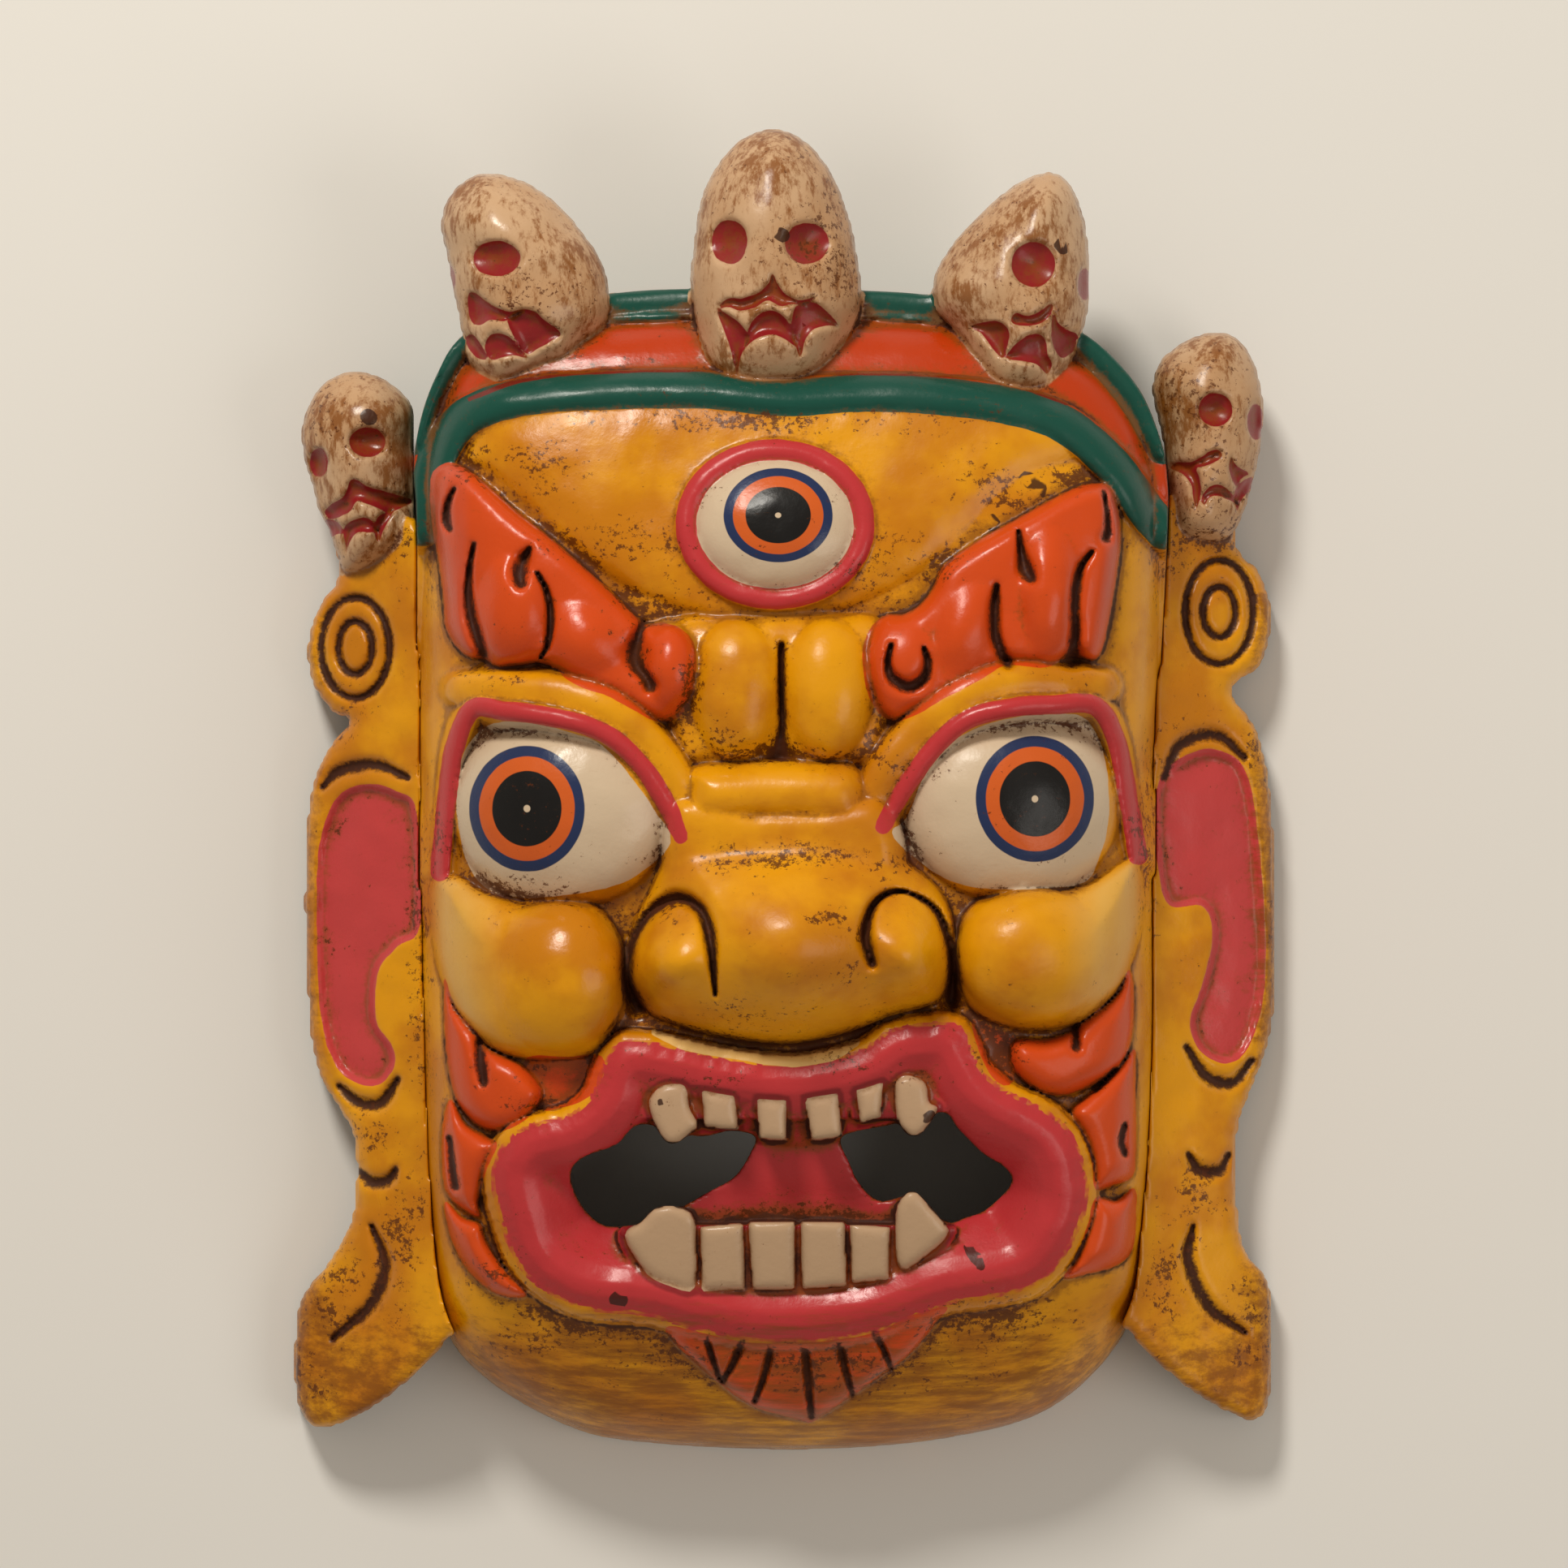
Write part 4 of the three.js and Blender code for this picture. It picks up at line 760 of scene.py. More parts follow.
def carve_band(top, paint):
    add_roll(top, [(x, y, 1, 6.2) for x, y in BAND_LOWER], k=1)
    add_roll(top, [(x, y, 0, 5.4) for x, y in BAND_UPPER], k=1)
    add_roll(top, [(x, y, 0, 6.5) for x, y in BAND_MIDDLE], tall=0.35, k=0.6)
    crown_area = [*BAND_LOWER, (130, 79), (130, 190), (-130, 190), (-130, 80)]
    paint["crown"] = region(crown_area, smooth=False, reach=60)
    lower = stroke([(x, y, 5.8) for x, y in BAND_LOWER])
    upper = stroke([(x, y, 5.6) for x, y in BAND_UPPER])
    paint["green"] = np.maximum(lower, upper)
    paint["stripe"] = stroke([(x, y, 0.7) for x, y in BAND_STRIPE])


def carve_face():
    """Height map of the whole front and, by name, the maps of what is painted how."""
    top = dome_front.copy()
    paint = {}
    add_lump(top, x=-2, y=108, z=-2, rx=104, up=36, down=58, rz=5, k=3)
    add_plate(top, FOREHEAD, high=5, edge=14, k=1.5)
    carve_third_eye(top, paint)
    carve_eyes(top, paint)
    carve_cheeks(top, paint)
    carve_nose(top, paint)
    carve_brows(top, paint)
    carve_hair(top, paint)
    carve_lips(top, paint)
    carve_band(top, paint)
    lines = [*NOSTRILS, *BROW_CUTS, *WHISKER_CUTS, *BEARD_CUTS, FROWN_CLEFT]
    paint["line"] = highest(depth_in(line) for line in lines)
    paint["mark"] = highest(stroke(line) for line in STAINS)
    top += unevenness((0.16, 6, 1), (0.1, 2.2, 2))
    return top, paint


def carve_teeth(top, paint):
    teeth = nowhere()
    for outline in TEETH:
        d = region(outline, smooth=len(outline) > 6)
        teeth = np.maximum(teeth, d)
        high = TOOTH_FRONT * (TOOTH_SIDE + TOOTH_CROWN * rounded(d, TOOTH_ROUND))
        m = d > 0
        top[m] = np.maximum(top[m], (base + high)[m])
    gum_and_hole_shade = (teeth > -2.4) & ((Y > UPPER_GUM) | (Y < LOWER_GUM))
    top[gum_and_hole_shade] = np.maximum(top, base + GUM_FRONT)[gum_and_hole_shade]
    paint["tooth"] = teeth


def carve_skull(z, rise, edge, outline, pits, scoops):
    """A skull's front and back height maps, and how far inside its sunk places and its outline a place is."""
    d = region(outline, reach=30)
    swell = rise * np.sqrt(1 - (1 - np.clip(blur(d, 1.5) / edge, 0, 1)) ** 2)
    front = np.where(d > 0, z + swell, z + 6 * d)
    back = np.where(d > 0, z - swell * 0.8, z - 6 * d)
    pit = nowhere()
    for x, y, rx, ry in pits:
        q = np.hypot((X - x) / rx, (Y - y) / ry)
        front -= PIT_DEPTH * np.sqrt(np.clip(1.1 - q, 0, 1))
        pit = np.maximum(pit, (1 - q) * min(rx, ry))
    for scoop in scoops:
        inside = region(scoop)
        front -= SCOOP_DEPTH * np.sqrt(np.clip(inside + 0.4, 0, SCOOP_EDGE) / SCOOP_EDGE)
        pit = np.maximum(pit, inside)
    front += unevenness((0.3, 3, len(outline))) * (d > 1)
    return front, back, pit, d


def slope_of(a):
    """How much longer than its flat shadow a map's surface is."""
    gy, gx = np.gradient(a, MAP_STEP)
    return np.sqrt(1 + np.minimum(gx * gx + gy * gy, 60))


# Closed skins from fields
def sample(a, x, y):
    """The map's value at places between its points."""
    fx = np.clip((x - xs[0]) / MAP_STEP, 0, len(xs) - 1.001)
    fy = np.clip((y - ys[0]) / MAP_STEP, 0, len(ys) - 1.001)
    i, j = fx.astype(int), fy.astype(int)
    u, v = fx - i, fy - j
    near_row = a[j, i] * (1 - u) * (1 - v) + a[j, i + 1] * u * (1 - v)
    return near_row + a[j + 1, i] * (1 - u) * v + a[j + 1, i + 1] * u * v


class Grid:
    """A box of points in which a piece's field is worked out. A field is positive inside the wood."""

    def __init__(self, x0, x1, y0, y1, z0, z1):
        sides = ((x0, x1), (y0, y1), (z0, z1))
        self.axes = [np.arange(a, b + SKIN_STEP, SKIN_STEP) for a, b in sides]
        self.z = self.axes[2].astype(np.float32)[None, None, :]

    def flat(self, a):
        """A map on the grid's own columns."""
        mx, my = np.meshgrid(*self.axes[:2], indexing="ij")
        return sample(a, mx, my).astype(np.float32)[:, :, None]

    def below(self, surface, limit=FIELD_LIMIT):
        return np.minimum(self.flat(surface) - self.z, limit) / self.flat(slope_of(surface))

    def above(self, surface, limit=FIELD_LIMIT):
        return np.minimum(self.z - self.flat(surface), limit) / self.flat(slope_of(surface))

    def between(self, front, back):
        return np.minimum(self.below(front), self.above(back))


def skin(field, axes):
    """Closed surface where the field is zero. Inside is positive. Vertices and four-cornered faces."""
    inside = field > 0
    n = np.zeros(tuple(s - 1 for s in inside.shape), np.uint8)
    corners = [(a, b, c) for a in (0, 1) for b in (0, 1) for c in (0, 1)]

    def shifted(arr, o):
        return arr[tuple(slice(v, s - 1 + v) for v, s in zip(o, arr.shape))]

    for o in corners:
        n += shifted(inside, o)
    active = (n > 0) & (n < 8)
    cells = np.argwhere(active)
    number = np.full(active.shape, -1, np.int32)
    number[active] = np.arange(len(cells))
    total = np.zeros((len(cells), 3))
    hits = np.zeros(len(cells))
    for axis in range(3):
        for o in [c for c in corners if c[axis] == 0]:
            a = cells + o
            b = a.copy()
            b[:, axis] += 1
            fa, fb = field[tuple(a.T)], field[tuple(b.T)]
            m = (fa > 0) != (fb > 0)
            t = fa[m] / (fa[m] - fb[m])
            p = a[m].astype(float)
            p[:, axis] += t
            total[m] += p
            hits[m] += 1
    places = total / hits[:, None]
    faces = []
    for axis in range(3):
        first = np.moveaxis(inside, axis, 0)[:-1]
        second = np.moveaxis(inside, axis, 0)[1:]
        cross = (first != second)[:, 1:-1, 1:-1]
        at = np.argwhere(cross) + (0, 1, 1)
        cell = np.moveaxis(number, axis, 0)
        i, j, k = at.T
        quad = np.stack([cell[i, j - 1, k - 1], cell[i, j, k - 1], cell[i, j, k], cell[i, j - 1, k]], 1)
        outward = first[i, j, k]
        if axis == 1:
            outward = ~outward
        quad[~outward] = quad[~outward][:, ::-1]
        faces.append(quad)
    verts = np.stack([ax[0] + places[:, i] * SKIN_STEP for i, ax in enumerate(axes)], 1)
    return verts, np.vstack(faces)


def to_frame(v):
    """Places in metres in the frame, from millimetres in the layout."""
    near = 1 - v[:, 2] / EYE
    return np.stack([v[:, 0] * near + SHIFT[0], v[:, 1] * near + SHIFT[1], v[:, 2]], 1) * MM


def to_layout(p):
    """Places in millimetres in the layout, from metres in the frame."""
    p = p / MM
    near = 1 - p[:, 2] / EYE
    return np.stack([(p[:, 0] - SHIFT[0]) / near, (p[:, 1] - SHIFT[1]) / near, p[:, 2]], 1)


def mesh_piece(name, field, axes, triangles):
    """The piece whose surface is where the field is zero, evened out and thinned to that many triangles."""
    verts, faces = skin(field, axes)
    mesh = bpy.data.meshes.new(name)
    mesh.vertices.add(len(verts))
    mesh.vertices.foreach_set("co", to_frame(verts).ravel())
    mesh.loops.add(len(faces) * 4)
    mesh.loops.foreach_set("vertex_index", faces.ravel())
    mesh.polygons.add(len(faces))
    mesh.polygons.foreach_set("loop_start", np.arange(len(faces)) * 4)
    mesh.update(calc_edges=True)
    mesh.validate()
    obj = bpy.data.objects.new(name, mesh)
    bpy.context.collection.objects.link(obj)
    smooth = obj.modifiers.new("even", "SMOOTH")
    smooth.factor = 0.5
    smooth.iterations = 2
    decimate = obj.modifiers.new("fewer", "DECIMATE")
    decimate.ratio = min(1.0, triangles / (2.0 * len(faces)))
    bpy.context.view_layer.update()
    done = bpy.data.meshes.new_from_object(obj.evaluated_get(bpy.context.evaluated_depsgraph_get()))
    obj.modifiers.clear()
    obj.data = done
    done.name = name
    done.polygons.foreach_set("use_smooth", np.ones(len(done.polygons), bool))
    return obj


def put(obj, name, values):
    attribute = obj.data.attributes.new(name, "FLOAT", "POINT")
    attribute.data.foreach_set("value", np.ascontiguousarray(values, np.float32).ravel())


def places_of(obj):
    p = np.empty(len(obj.data.vertices) * 3)
    obj.data.vertices.foreach_get("co", p)
    return to_layout(p.reshape(-1, 3))


# The pieces
PAINTED = ("brow", "lip", "lid", "white", "crown", "green", "stripe", "cream", "pale", "hair", "tooth")
face_front, face_paint = carve_face()


def in_skull(front, back, x, y, h):
    """How deep in a skull a place is, at a quarter of its depth: 1 on the skull's own surface."""
    return np.clip(np.minimum(sample(front, x, y) - h, h - sample(back, x, y)) / 4 + 1.0, -FAR, 2)


def put_wear(obj, whole, keep, x, y):
    """Depth of hollows in millimetres, on a fine and a wide scale, how much browner a place turns towards the
    jaw's bottom and the ears' outer edges, and how worn a place is.
    """
    fine = blur(whole, 1.2)
    wide = blur(whole, 4.0)
    put(obj, "cavity", sample(np.clip(fine - whole, 0, 3) * keep, x, y))
    put(obj, "near", sample(np.clip(wide - fine, 0, 4) * keep, x, y))
    # Browner towards the bottom of the jaw and towards the ears' outer edges
    low_and_outer_browning = np.clip((-146 - Y) / 34, 0, 1) + np.clip((np.abs(X) - 138) / 10, 0, 1) * (Y < 60)
    put(obj, "low_and_outer_browning", sample(np.clip(low_and_outer_browning, 0, 1), x, y))
    # Rubbed patches, over the upper lip partly painted shade, and the skulls' brown stains
    for name, places in (("rub_and_lip_shade", RUBS_AND_LIP_SHADE), ("stain", SKULL_STAINS)):
        m = np.zeros(X.shape)
        for cx, cy, rx, ry in places:
            q = np.hypot((X - cx) / rx, (Y - cy) / ry)
            m = np.maximum(m, 1 - 0.75 * q)
        put(obj, name, sample(np.clip(m, 0, 1), x, y))


def away_from_edge(margin):
    """0 near a skull's outline, where its height map falls away, and 1 well inside it."""
    return np.clip(margin / 2 - 0.4, 0, 1)


def face_piece():
    front, paint = face_front.copy(), face_paint
    carve_teeth(front, paint)
    skulls = [carve_skull(**SKULLS[k]) for k in ("middle", "left", "right")]
    hole = np.minimum(highest(region(outline) for outline in MOUTH_HOLES), -paint["tooth"])
    grid = Grid(*FACE_BOX)
    walls = grid.flat(rim_inside), -grid.flat(hole)
    field = reduce(np.minimum, (grid.below(front, FACE_FIELD_LIMIT), grid.z, grid.above(hollow_top), *walls))
    for s_front, s_back, _, _ in skulls:
        field = np.maximum(field, grid.between(s_front, s_back))
    obj = mesh_piece("face_block_carved", field, grid.axes, FACE_TRIANGLES)
    x, y, h = places_of(obj).T
    for name in (*PAINTED, "line", "mark"):
        put(obj, name, sample(paint[name], x, y))
    skull_at = np.full(len(x), -FAR)
    pit = nowhere()
    whole = np.maximum(np.where(hole > 0, front - MOUTH_DEPTH, front), CAVITY_FLOOR)
    keep = np.clip((rim_inside - 2) / 4, 0, 1)
    for s_front, s_back, s_pit, s_inside in skulls:
        skull_at = np.maximum(skull_at, in_skull(s_front, s_back, x, y, h))
        pit = np.maximum(pit, np.where(s_front > front, s_pit, -FAR))
        whole = np.maximum(whole, s_front)
        keep = np.maximum(keep, away_from_edge(s_inside))
    put(obj, "skull", skull_at)
    put(obj, "pit", sample(pit, x, y))
    # Places deep in the walls of the mouth holes, which are painted near black as shade
    put(obj, "gum_and_hole_shade", np.where(sample(hole, x, y) > -3, sample(front, x, y) - h - 4, -FAR))
    bare = (sample(hollow_top, x, y) + 3 > h) | (h < 0.6)
    put(obj, "bare", np.where(bare, 1.0, -1.0))
    put(obj, "recess", np.full(len(x), -FAR))
    put_wear(obj, whole, keep, x, y)
    return obj


def carve_board(spec):
    """A side board's front as a height map, and the maps of its lean, outline, recess and carved lines."""
    side = spec["side"]
    outline = region(spec["outline"], reach=20)
    lean = BOARD_FRONT - BOARD_SLOPE * (side * X - BOARD_INNER)
    edge = np.clip(outline / BOARD_EDGE, 0, 1)
    front = lean - BOARD_EDGE * (1 - np.sqrt(1 - (1 - edge) ** 2)) * 0.9
    recess = region(spec["recess"])
    floor_swell = RECESS_SWELL * np.clip(recess / 12, 0, 1)
    front -= RECESS_DEPTH * np.clip(recess / RECESS_EDGE, 0, 1) - floor_swell
    carved = nowhere()
    for rx, ry in spec["rings"]:
        ring = ellipse(*spec["disc"], rx, ry, 20, 1.2)
        cut_groove(front, ring, depth=3, closed=True)
        carved = np.maximum(carved, depth_in(ring, closed=True))
    for line in spec["marks"]:
        cut_groove(front, line, depth=3.2)
        carved = np.maximum(carved, depth_in(line))
    front += unevenness((0.25, 5, 3 + side), (0.12, 2.2, 6 + side))
    return front, lean, outline, recess, carved


def board_piece(key):
    spec = BOARDS[key]
    front, lean, outline, recess, carved = carve_board(spec)
    s_front, s_back, s_pit, s_inside = carve_skull(**SKULLS[spec["skull"]])
    grid = Grid(*sorted(spec["side"] * x for x in BOARD_SIDES), *BOARD_BOX)
    beside_face = -grid.flat(rim_inside)
    over_edge = np.minimum(grid.above(face_front, np.inf), beside_face + JOINT_LAP)
    joint = np.maximum(beside_face, over_edge) - JOINT_GAP
    behind = (grid.z - grid.flat(lean - BOARD_THICK)) / math.hypot(1, BOARD_SLOPE)
    board = reduce(np.minimum, (grid.below(front), behind, grid.flat(outline), joint))
    skull = np.minimum(grid.between(s_front, s_back), beside_face - JOINT_GAP)
    field = np.maximum(board, skull)
    obj = mesh_piece(f"{key}_ear_carved", field, grid.axes, BOARD_TRIANGLES)
    x, y, h = places_of(obj).T
    for name in (*PAINTED, "gum_and_hole_shade"):
        put(obj, name, np.full(len(x), 0.0 if name == "pale" else -FAR))
    put(obj, "mark", sample(face_paint["mark"], x, y))
    put(obj, "line", sample(carved, x, y))
    skull_at = in_skull(s_front, s_back, x, y, h)
    put(obj, "skull", skull_at)
    put(obj, "pit", sample(s_pit, x, y))
    put(obj, "recess", sample(recess, x, y))
    at_back = h < sample(lean, x, y) - BOARD_THICK + BACK_MARGIN
    put(obj, "bare", np.where(at_back & (skull_at < 1.3), 1.0, -1.0))
    keep = np.maximum(np.clip(outline / 1.5, 0, 1), away_from_edge(s_inside))
    put_wear(obj, np.maximum(front, s_front), keep, x, y)
    return obj


# Paint
class Nodes:
    """Short words for building a shader."""

    def __init__(self, name):
        self.material = bpy.data.materials.new(name)
        self.material.use_nodes = True
        self.tree = self.material.node_tree
        self.tree.nodes.clear()

    def new(self, kind, **values):
        node = self.tree.nodes.new(kind)
        for key, value in values.items():
            setattr(node, key, value)
        return node

    def set(self, socket, value):
        if isinstance(value, bpy.types.NodeSocket):
            self.tree.links.new(value, socket)
        else:
            socket.default_value = value

    def attribute(self, name):
        return self.new("ShaderNodeAttribute", attribute_name=name).outputs["Fac"]

    def place(self):
        return self.new("ShaderNodeTexCoord").outputs["Object"]

    def axes(self):
        node = self.new("ShaderNodeSeparateXYZ")
        self.set(node.inputs[0], self.place())
        return node.outputs

    def math(self, operation, a, b=0.0):
        node = self.new("ShaderNodeMath", operation=operation)
        for socket, value in zip(node.inputs, (a, b)):
            self.set(socket, value)
        return node.outputs[0]

    def add(self, first, *others):
        for other in others:
            first = self.math("ADD", first, other)
        return first

    def minus(self, a, b):
        return self.math("SUBTRACT", a, b)

    def times(self, a, b):
        return self.math("MULTIPLY", a, b)

    def noise(self, scale, detail=3.0, rough=0.55, stretch=None):
        """Noise from 0 to 1, of features that many to the metre."""
        coord = self.place()
        if stretch:
            mapping = self.new("ShaderNodeMapping")
            mapping.inputs["Scale"].default_value = stretch
            self.set(mapping.inputs["Vector"], coord)
            coord = mapping.outputs[0]
        node = self.new("ShaderNodeTexNoise")
        self.set(node.inputs["Vector"], coord)
        for name, value in (("Scale", scale), ("Detail", detail), ("Roughness", rough)):
            node.inputs[name].default_value = value
        return node.outputs["Fac"]

    def sway(self, *noise):
        """Noise about zero."""
        return self.minus(self.noise(*noise), 0.5)

    def ramp(self, value, low, high, to_low=0.0, to_high=1.0):
        node = self.new("ShaderNodeMapRange", interpolation_type="SMOOTHSTEP")
        for socket, v in zip(node.inputs, (value, low, high, to_low, to_high)):
            self.set(socket, v)
        return node.outputs[0]

    def mix(self, share, a, b):
        node = self.new("ShaderNodeMix", data_type="RGBA")
        self.set(node.inputs["Factor"], share)
        self.set(node.inputs[6], a)
        self.set(node.inputs[7], b)
        return node.outputs[2]


def linear(c):
    return c / 255 / 12.92 if c <= 10 else ((c / 255 + 0.055) / 1.055) ** 2.4


def srgb(r, g, b):
    return (linear(r), linear(g), linear(b), 1.0)


YELLOW = srgb(224, 153, 6)
YELLOW_DEEP = srgb(196, 120, 6)
ORANGE = srgb(206, 72, 18)
BAND_ORANGE = srgb(184, 56, 8)
GREEN = srgb(16, 74, 62)
LIP_RED = srgb(188, 52, 56)
EAR_RED = srgb(196, 66, 66)
BONE = srgb(198, 162, 126)
BONE_WORN = srgb(186, 144, 104)
EYE_WHITE = srgb(206, 184, 156)
TOOTH_WHITE = srgb(186, 154, 122)
BLUE = srgb(34, 48, 86)
IRIS_ORANGE = srgb(206, 92, 32)
BLACK = srgb(18, 16, 16)
# Near black for the deep walls of the mouth holes, standing for the shade in them
THROAT_SHADE = srgb(24, 12, 10)
WAX = srgb(52, 18, 6)
RUBBED = srgb(84, 38, 8)
BROWN = srgb(128, 70, 10)
CREAM = srgb(222, 180, 110)
PALE = srgb(216, 166, 78)
MAROON = srgb(110, 28, 18)
ROSE = srgb(192, 84, 62)
SOCKET_RED = srgb(140, 30, 32)
GAP_RED = srgb(120, 24, 28)
WOOD = srgb(120, 84, 52)
WOOD_DARK = srgb(88, 58, 34)
PAPER = srgb(226, 224, 220)
EDGE = 0.15
GLOSS = (0.24, 0.4)
WAX_DULLNESS = 0.4
WOOD_ROUGHNESS = 0.75
PAPER_ROUGHNESS = 0.9
SHEEN = 0.32
BUMP_STRENGTH = 0.35
BUMP_HEIGHT = 0.6 * MM
# The rings of an iris from the outside in, each by its share of the iris's radius; the last, a small white
# dot in the middle, is a painted highlight.
IRIS_RINGS_AND_GLINT = ((1.0, BLUE), (0.83, IRIS_ORANGE), (0.6, BLACK), (0.055, EYE_WHITE))
# An iris shows only above this height, and the brows turn rose this far out, both in metres.
IRIS_FLOOR = (0.055, 0.06)
ROSE_FROM = (0.091, 0.095)
OUTSIDE = 9.0


def iris_reach(n):
    """How far out of the nearest eye's iris a place is seen from the front: 1 on the iris's edge."""
    x, y, z = n.axes()
    near = n.minus(1.0, n.math("DIVIDE", z, EYE * MM))
    reach = OUTSIDE
    for cx, cy, rx, ry in IRISES:
        parts = []
        for value, shift, middle, radius in ((x, SHIFT[0], cx, rx), (y, SHIFT[1], cy, ry)):
            seen = n.math("DIVIDE", n.minus(value, shift * MM), near)
            parts.append(n.math("DIVIDE", n.minus(seen, middle * MM), radius * MM))
        u, v = parts
        r = n.math("SQRT", n.add(n.times(u, u), n.times(v, v)))
        reach = n.math("MINIMUM", r, reach)
    return n.math("MAXIMUM", reach, n.ramp(z, *IRIS_FLOOR, OUTSIDE, 0.0))


class Brush:
    """The noises that all the paint shares, and the soft edge of a painted place."""

    def __init__(self, n):
        self.n = n
        self.wobble = n.times(n.sway(160, 2), 0.9)
        self.patch = n.noise(28, 4)
        self.grit = n.sway(520, 5, 0.75)
        self.smear = n.sway(150, 4, 0.7, (0.35, 1, 1))

    def inside(self, name):
        return self.n.ramp(self.n.add(self.n.attribute(name), self.wobble), -EDGE, EDGE)


def paint_face(n, brush):
    """The plain colours of face, band, brows, lips and ears."""
    patch, inside = brush.patch, brush.inside
    outer = n.ramp(n.math("ABSOLUTE", n.axes()[0]), *ROSE_FROM)
    brow = n.mix(n.times(outer, n.ramp(patch, 0.2, 0.6, 1.0, 0.3)), ORANGE, ROSE)
    color = n.mix(n.ramp(patch, 0.38, 0.62), YELLOW, YELLOW_DEEP)
    color = n.mix(n.times(n.attribute("pale"), n.ramp(patch, 0.25, 0.6, 1.0, 0.7)), color, PALE)
    for name, paint in (
        ("crown", BAND_ORANGE), ("green", GREEN), ("stripe", MAROON), ("hair", ORANGE), ("brow", brow),
        ("lip", LIP_RED), ("cream", CREAM), ("recess", EAR_RED), ("white", EYE_WHITE), ("lid", LIP_RED),
    ):
        color = n.mix(inside(name), color, paint)
    return color


def paint_eyes_and_teeth(n, brush, color):
    r = n.add(iris_reach(n), n.times(brush.wobble, 0.02))
    # Blue, orange and black rings, and in each pupil a small white dot of painted highlight
    for size, paint in IRIS_RINGS_AND_GLINT:
        color = n.mix(n.ramp(r, size - 0.01, size + 0.01, 1.0, 0.0), color, paint)
    color = n.mix(n.ramp(n.attribute("tooth"), -2.4, -1.2, 0.0, 0.8), color, GAP_RED)
    color = n.mix(brush.inside("tooth"), color, TOOTH_WHITE)
    # The deep walls of the mouth holes, painted near black as shade
    return n.mix(n.ramp(n.attribute("gum_and_hole_shade"), -3, 3), color, THROAT_SHADE)


def paint_skulls(n, brush, color):
    skull = n.ramp(n.attribute("skull"), 0.3, 0.7)
    stain = n.add(n.noise(45, 4, 0.6), n.times(n.sway(420, 4, 0.7, (1, 0.4, 1)), 1.5))
    stain = n.add(stain, n.times(n.attribute("stain"), 0.3))
    bone = n.mix(n.ramp(brush.patch, 0.35, 0.65), BONE, BONE_WORN)
    bone = n.mix(n.ramp(stain, 0.46, 0.84, 0.0, 0.85), bone, BROWN)
    bone = n.mix(n.ramp(n.add(brush.patch, n.times(brush.grit, 2.2)), 0.72, 0.82, 0.0, 0.8), bone, RUBBED)
    color = n.mix(skull, color, bone)
    return n.mix(n.times(brush.inside("pit"), skull), color, SOCKET_RED)


def add_wax_and_browning(n, brush, color):
    """Brown in the hollows, browner towards the jaw's bottom and the ears' outer edges, and dark wax in the
    cuts. Returns the wax's share too.
    """
    cavity, near = n.attribute("cavity"), n.attribute("near")
    loose = n.add(n.times(brush.grit, 1.5), n.times(brush.smear, 0.9))
    thin = n.add(cavity, n.times(near, 0.27), loose)
    soiled = n.minus(0.66, n.times(brush.inside("white"), 0.5))
    color = n.mix(n.times(n.ramp(thin, 0.1, 0.9), soiled), color, BROWN)
    # Browner towards the bottom of the jaw and the ears' outer edges, in streaks
    browning_share = n.add(n.times(n.attribute("low_and_outer_browning"), 0.55), n.times(n.sway(260, 5, 0.7, (0.16, 1, 1)), 1.6))
    color = n.mix(n.ramp(browning_share, 0.2, 0.75, 0.0, 0.8), color, BROWN)
    broken = n.times(n.sway(70, 3), 3.0)
    wax = n.ramp(n.add(cavity, n.add(loose, broken)), 0.85, 1.75, 0.0, 0.9)
    lines = n.add(n.attribute("line"), n.times(loose, 0.9))
    wax = n.math("MAXIMUM", wax, n.ramp(lines, 0.05, 0.7, 0.0, 0.95))
    return n.mix(wax, color, WAX), wax


def add_wear(n, brush, color):
    """Rubbed places, over the upper lip partly painted shade, and dark spots."""
    rubbed = n.add(n.times(n.attribute("rub_and_lip_shade"), 0.35), n.times(n.attribute("near"), 0.1))
    rubbed = n.add(rubbed, n.add(n.times(brush.smear, 1.0), n.times(brush.grit, 1.7)))
    rubbed = n.add(rubbed, n.times(n.minus(brush.patch, 0.5), 0.4))
    color = n.mix(n.ramp(rubbed, 0.3, 0.44, 0.0, 0.85), color, RUBBED)
    return n.mix(n.times(brush.inside("mark"), 0.9), color, WAX)


def paint_material(name):
    n = Nodes(name)
    brush = Brush(n)
    color = paint_face(n, brush)
    color = paint_eyes_and_teeth(n, brush, color)
    color = paint_skulls(n, brush, color)
    color, wax = add_wax_and_browning(n, brush, color)
    color = add_wear(n, brush, color)
    bare = n.ramp(n.attribute("bare"), -0.3, 0.3)
    color = n.mix(bare, color, n.mix(n.noise(40, 5, 0.6, (1, 0.15, 1)), WOOD, WOOD_DARK))

    shader = n.new("ShaderNodeBsdfPrincipled")
    n.set(shader.inputs["Base Color"], color)
    gloss = n.ramp(n.noise(60, 4, 0.6, (1, 0.35, 1)), 0.3, 0.75, *GLOSS)
    gloss = n.add(gloss, n.times(wax, WAX_DULLNESS))
    n.set(shader.inputs["Roughness"], n.math("MAXIMUM", gloss, n.times(bare, WOOD_ROUGHNESS)))
    shader.inputs["Specular IOR Level"].default_value = SHEEN
    bump = n.new("ShaderNodeBump")
    bump.inputs["Strength"].default_value = BUMP_STRENGTH
    bump.inputs["Distance"].default_value = BUMP_HEIGHT
    n.set(bump.inputs["Height"], n.add(n.times(n.noise(140, 4), 0.7), n.times(n.noise(600, 3), 0.3)))
    n.set(shader.inputs["Normal"], bump.outputs[0])
    n.set(n.new("ShaderNodeOutputMaterial").inputs["Surface"], shader.outputs[0])
    return n.material


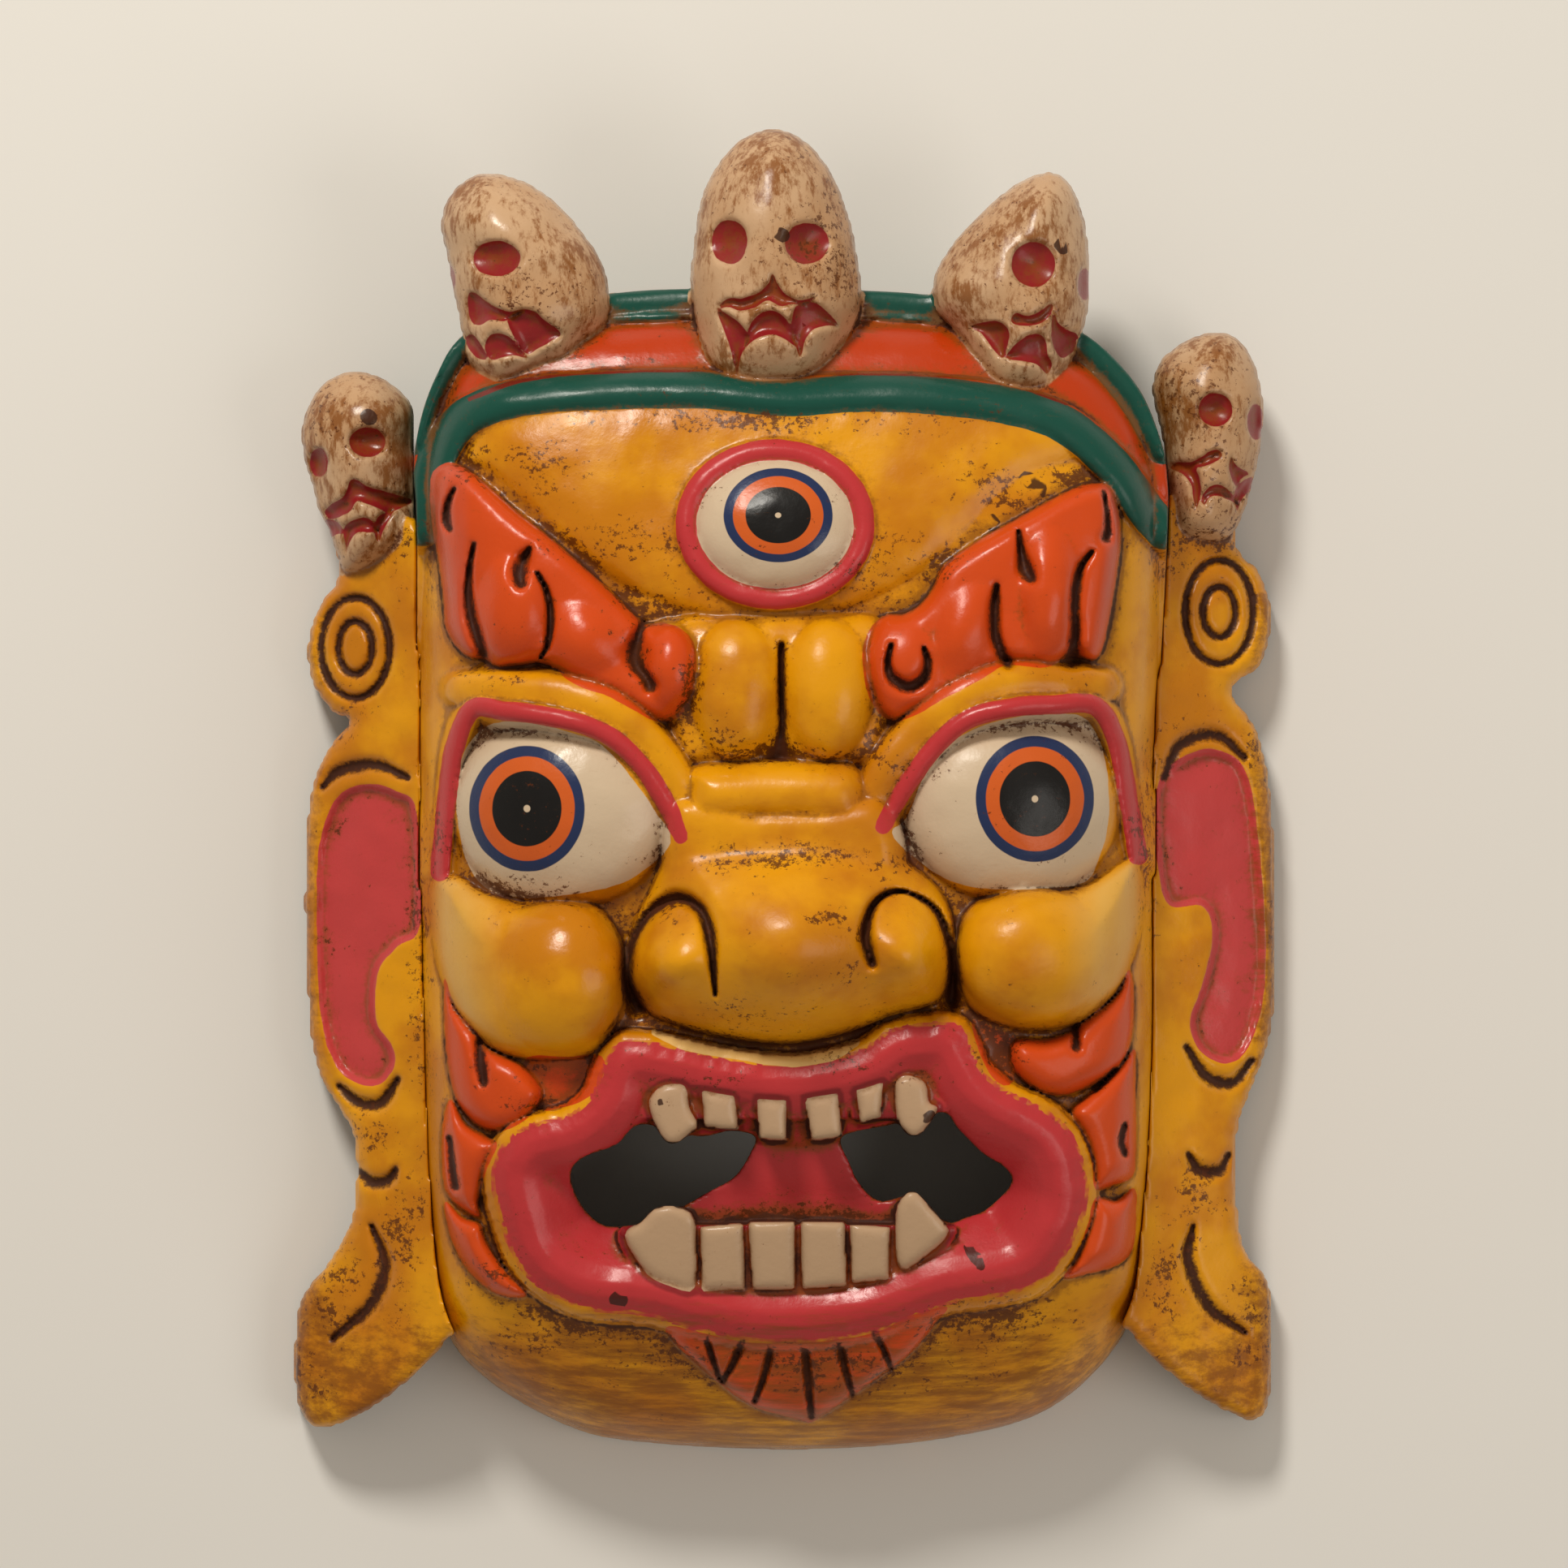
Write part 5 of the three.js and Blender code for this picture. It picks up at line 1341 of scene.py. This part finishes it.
for obj, node, slot in (
    (face_piece(), "face_block", "painted_face"),
    (board_piece("left"), "left_ear_board", "painted_left_ear"),
    (board_piece("right"), "right_ear_board", "painted_right_ear"),
):
    obj.data.materials.clear()
    obj.data.materials.append(paint_material(slot))
    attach(obj, "root")
    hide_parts(node)
    print(obj.name, len(obj.data.polygons), "faces")

# Floor, light and camera
bpy.ops.mesh.primitive_plane_add(size=8, location=(0, 0, 0))
floor = bpy.context.object
floor.name = "floor"
paper = Nodes("paper")
matte = paper.new("ShaderNodeBsdfPrincipled")
matte.inputs["Base Color"].default_value = PAPER
matte.inputs["Roughness"].default_value = PAPER_ROUGHNESS
paper.set(paper.new("ShaderNodeOutputMaterial").inputs["Surface"], matte.outputs[0])
floor.data.materials.append(paper.material)


# Places in metres, power in watts.
LIT_PLACE = (0, 0, 0.05)
ROOM_COLOR = (1.0, 0.9, 0.76, 1)
ROOM_LIGHT = 0.36


def area_light(name, place, size, power, color):
    """A round lamp that shines on the mask."""
    light = bpy.data.lights.new(name, "AREA")
    light.shape = "DISK"
    light.size = size
    light.energy = power
    light.color = color
    obj = bpy.data.objects.new(name, light)
    bpy.context.collection.objects.link(obj)
    obj.location = place
    way = np.array(LIT_PLACE, float) - np.array(place, float)
    obj.rotation_euler = Vector(way).to_track_quat("-Z", "Y").to_euler()


area_light("key", place=(-0.45, 1.3, 1.3), size=0.4, power=24, color=(1, 0.95, 0.86))
area_light("fill", place=(1.2, -0.4, 1.3), size=1.0, power=6, color=(1, 0.95, 0.88))
world = bpy.data.worlds.new("room") if bpy.context.scene.world is None else bpy.context.scene.world
bpy.context.scene.world = world
world.use_nodes = True
background = world.node_tree.nodes["Background"]
background.inputs["Color"].default_value = ROOM_COLOR
background.inputs["Strength"].default_value = ROOM_LIGHT

bpy.context.scene.view_settings.view_transform = "Standard"
camera = bpy.data.cameras.new("camera")
camera.sensor_width = SENSOR_WIDTH
camera.lens = SENSOR_WIDTH * EYE / PICTURE_WIDTH
camera.shift_y = 1.0 / PICTURE_WIDTH
camera.clip_end = 20
camera_object = bpy.data.objects.new("camera", camera)
bpy.context.collection.objects.link(camera_object)
camera_object.location = (SHIFT[0] * MM, SHIFT[1] * MM, EYE * MM)
camera_object.rotation_euler = (0, 0, 0)
bpy.context.scene.camera = camera_object
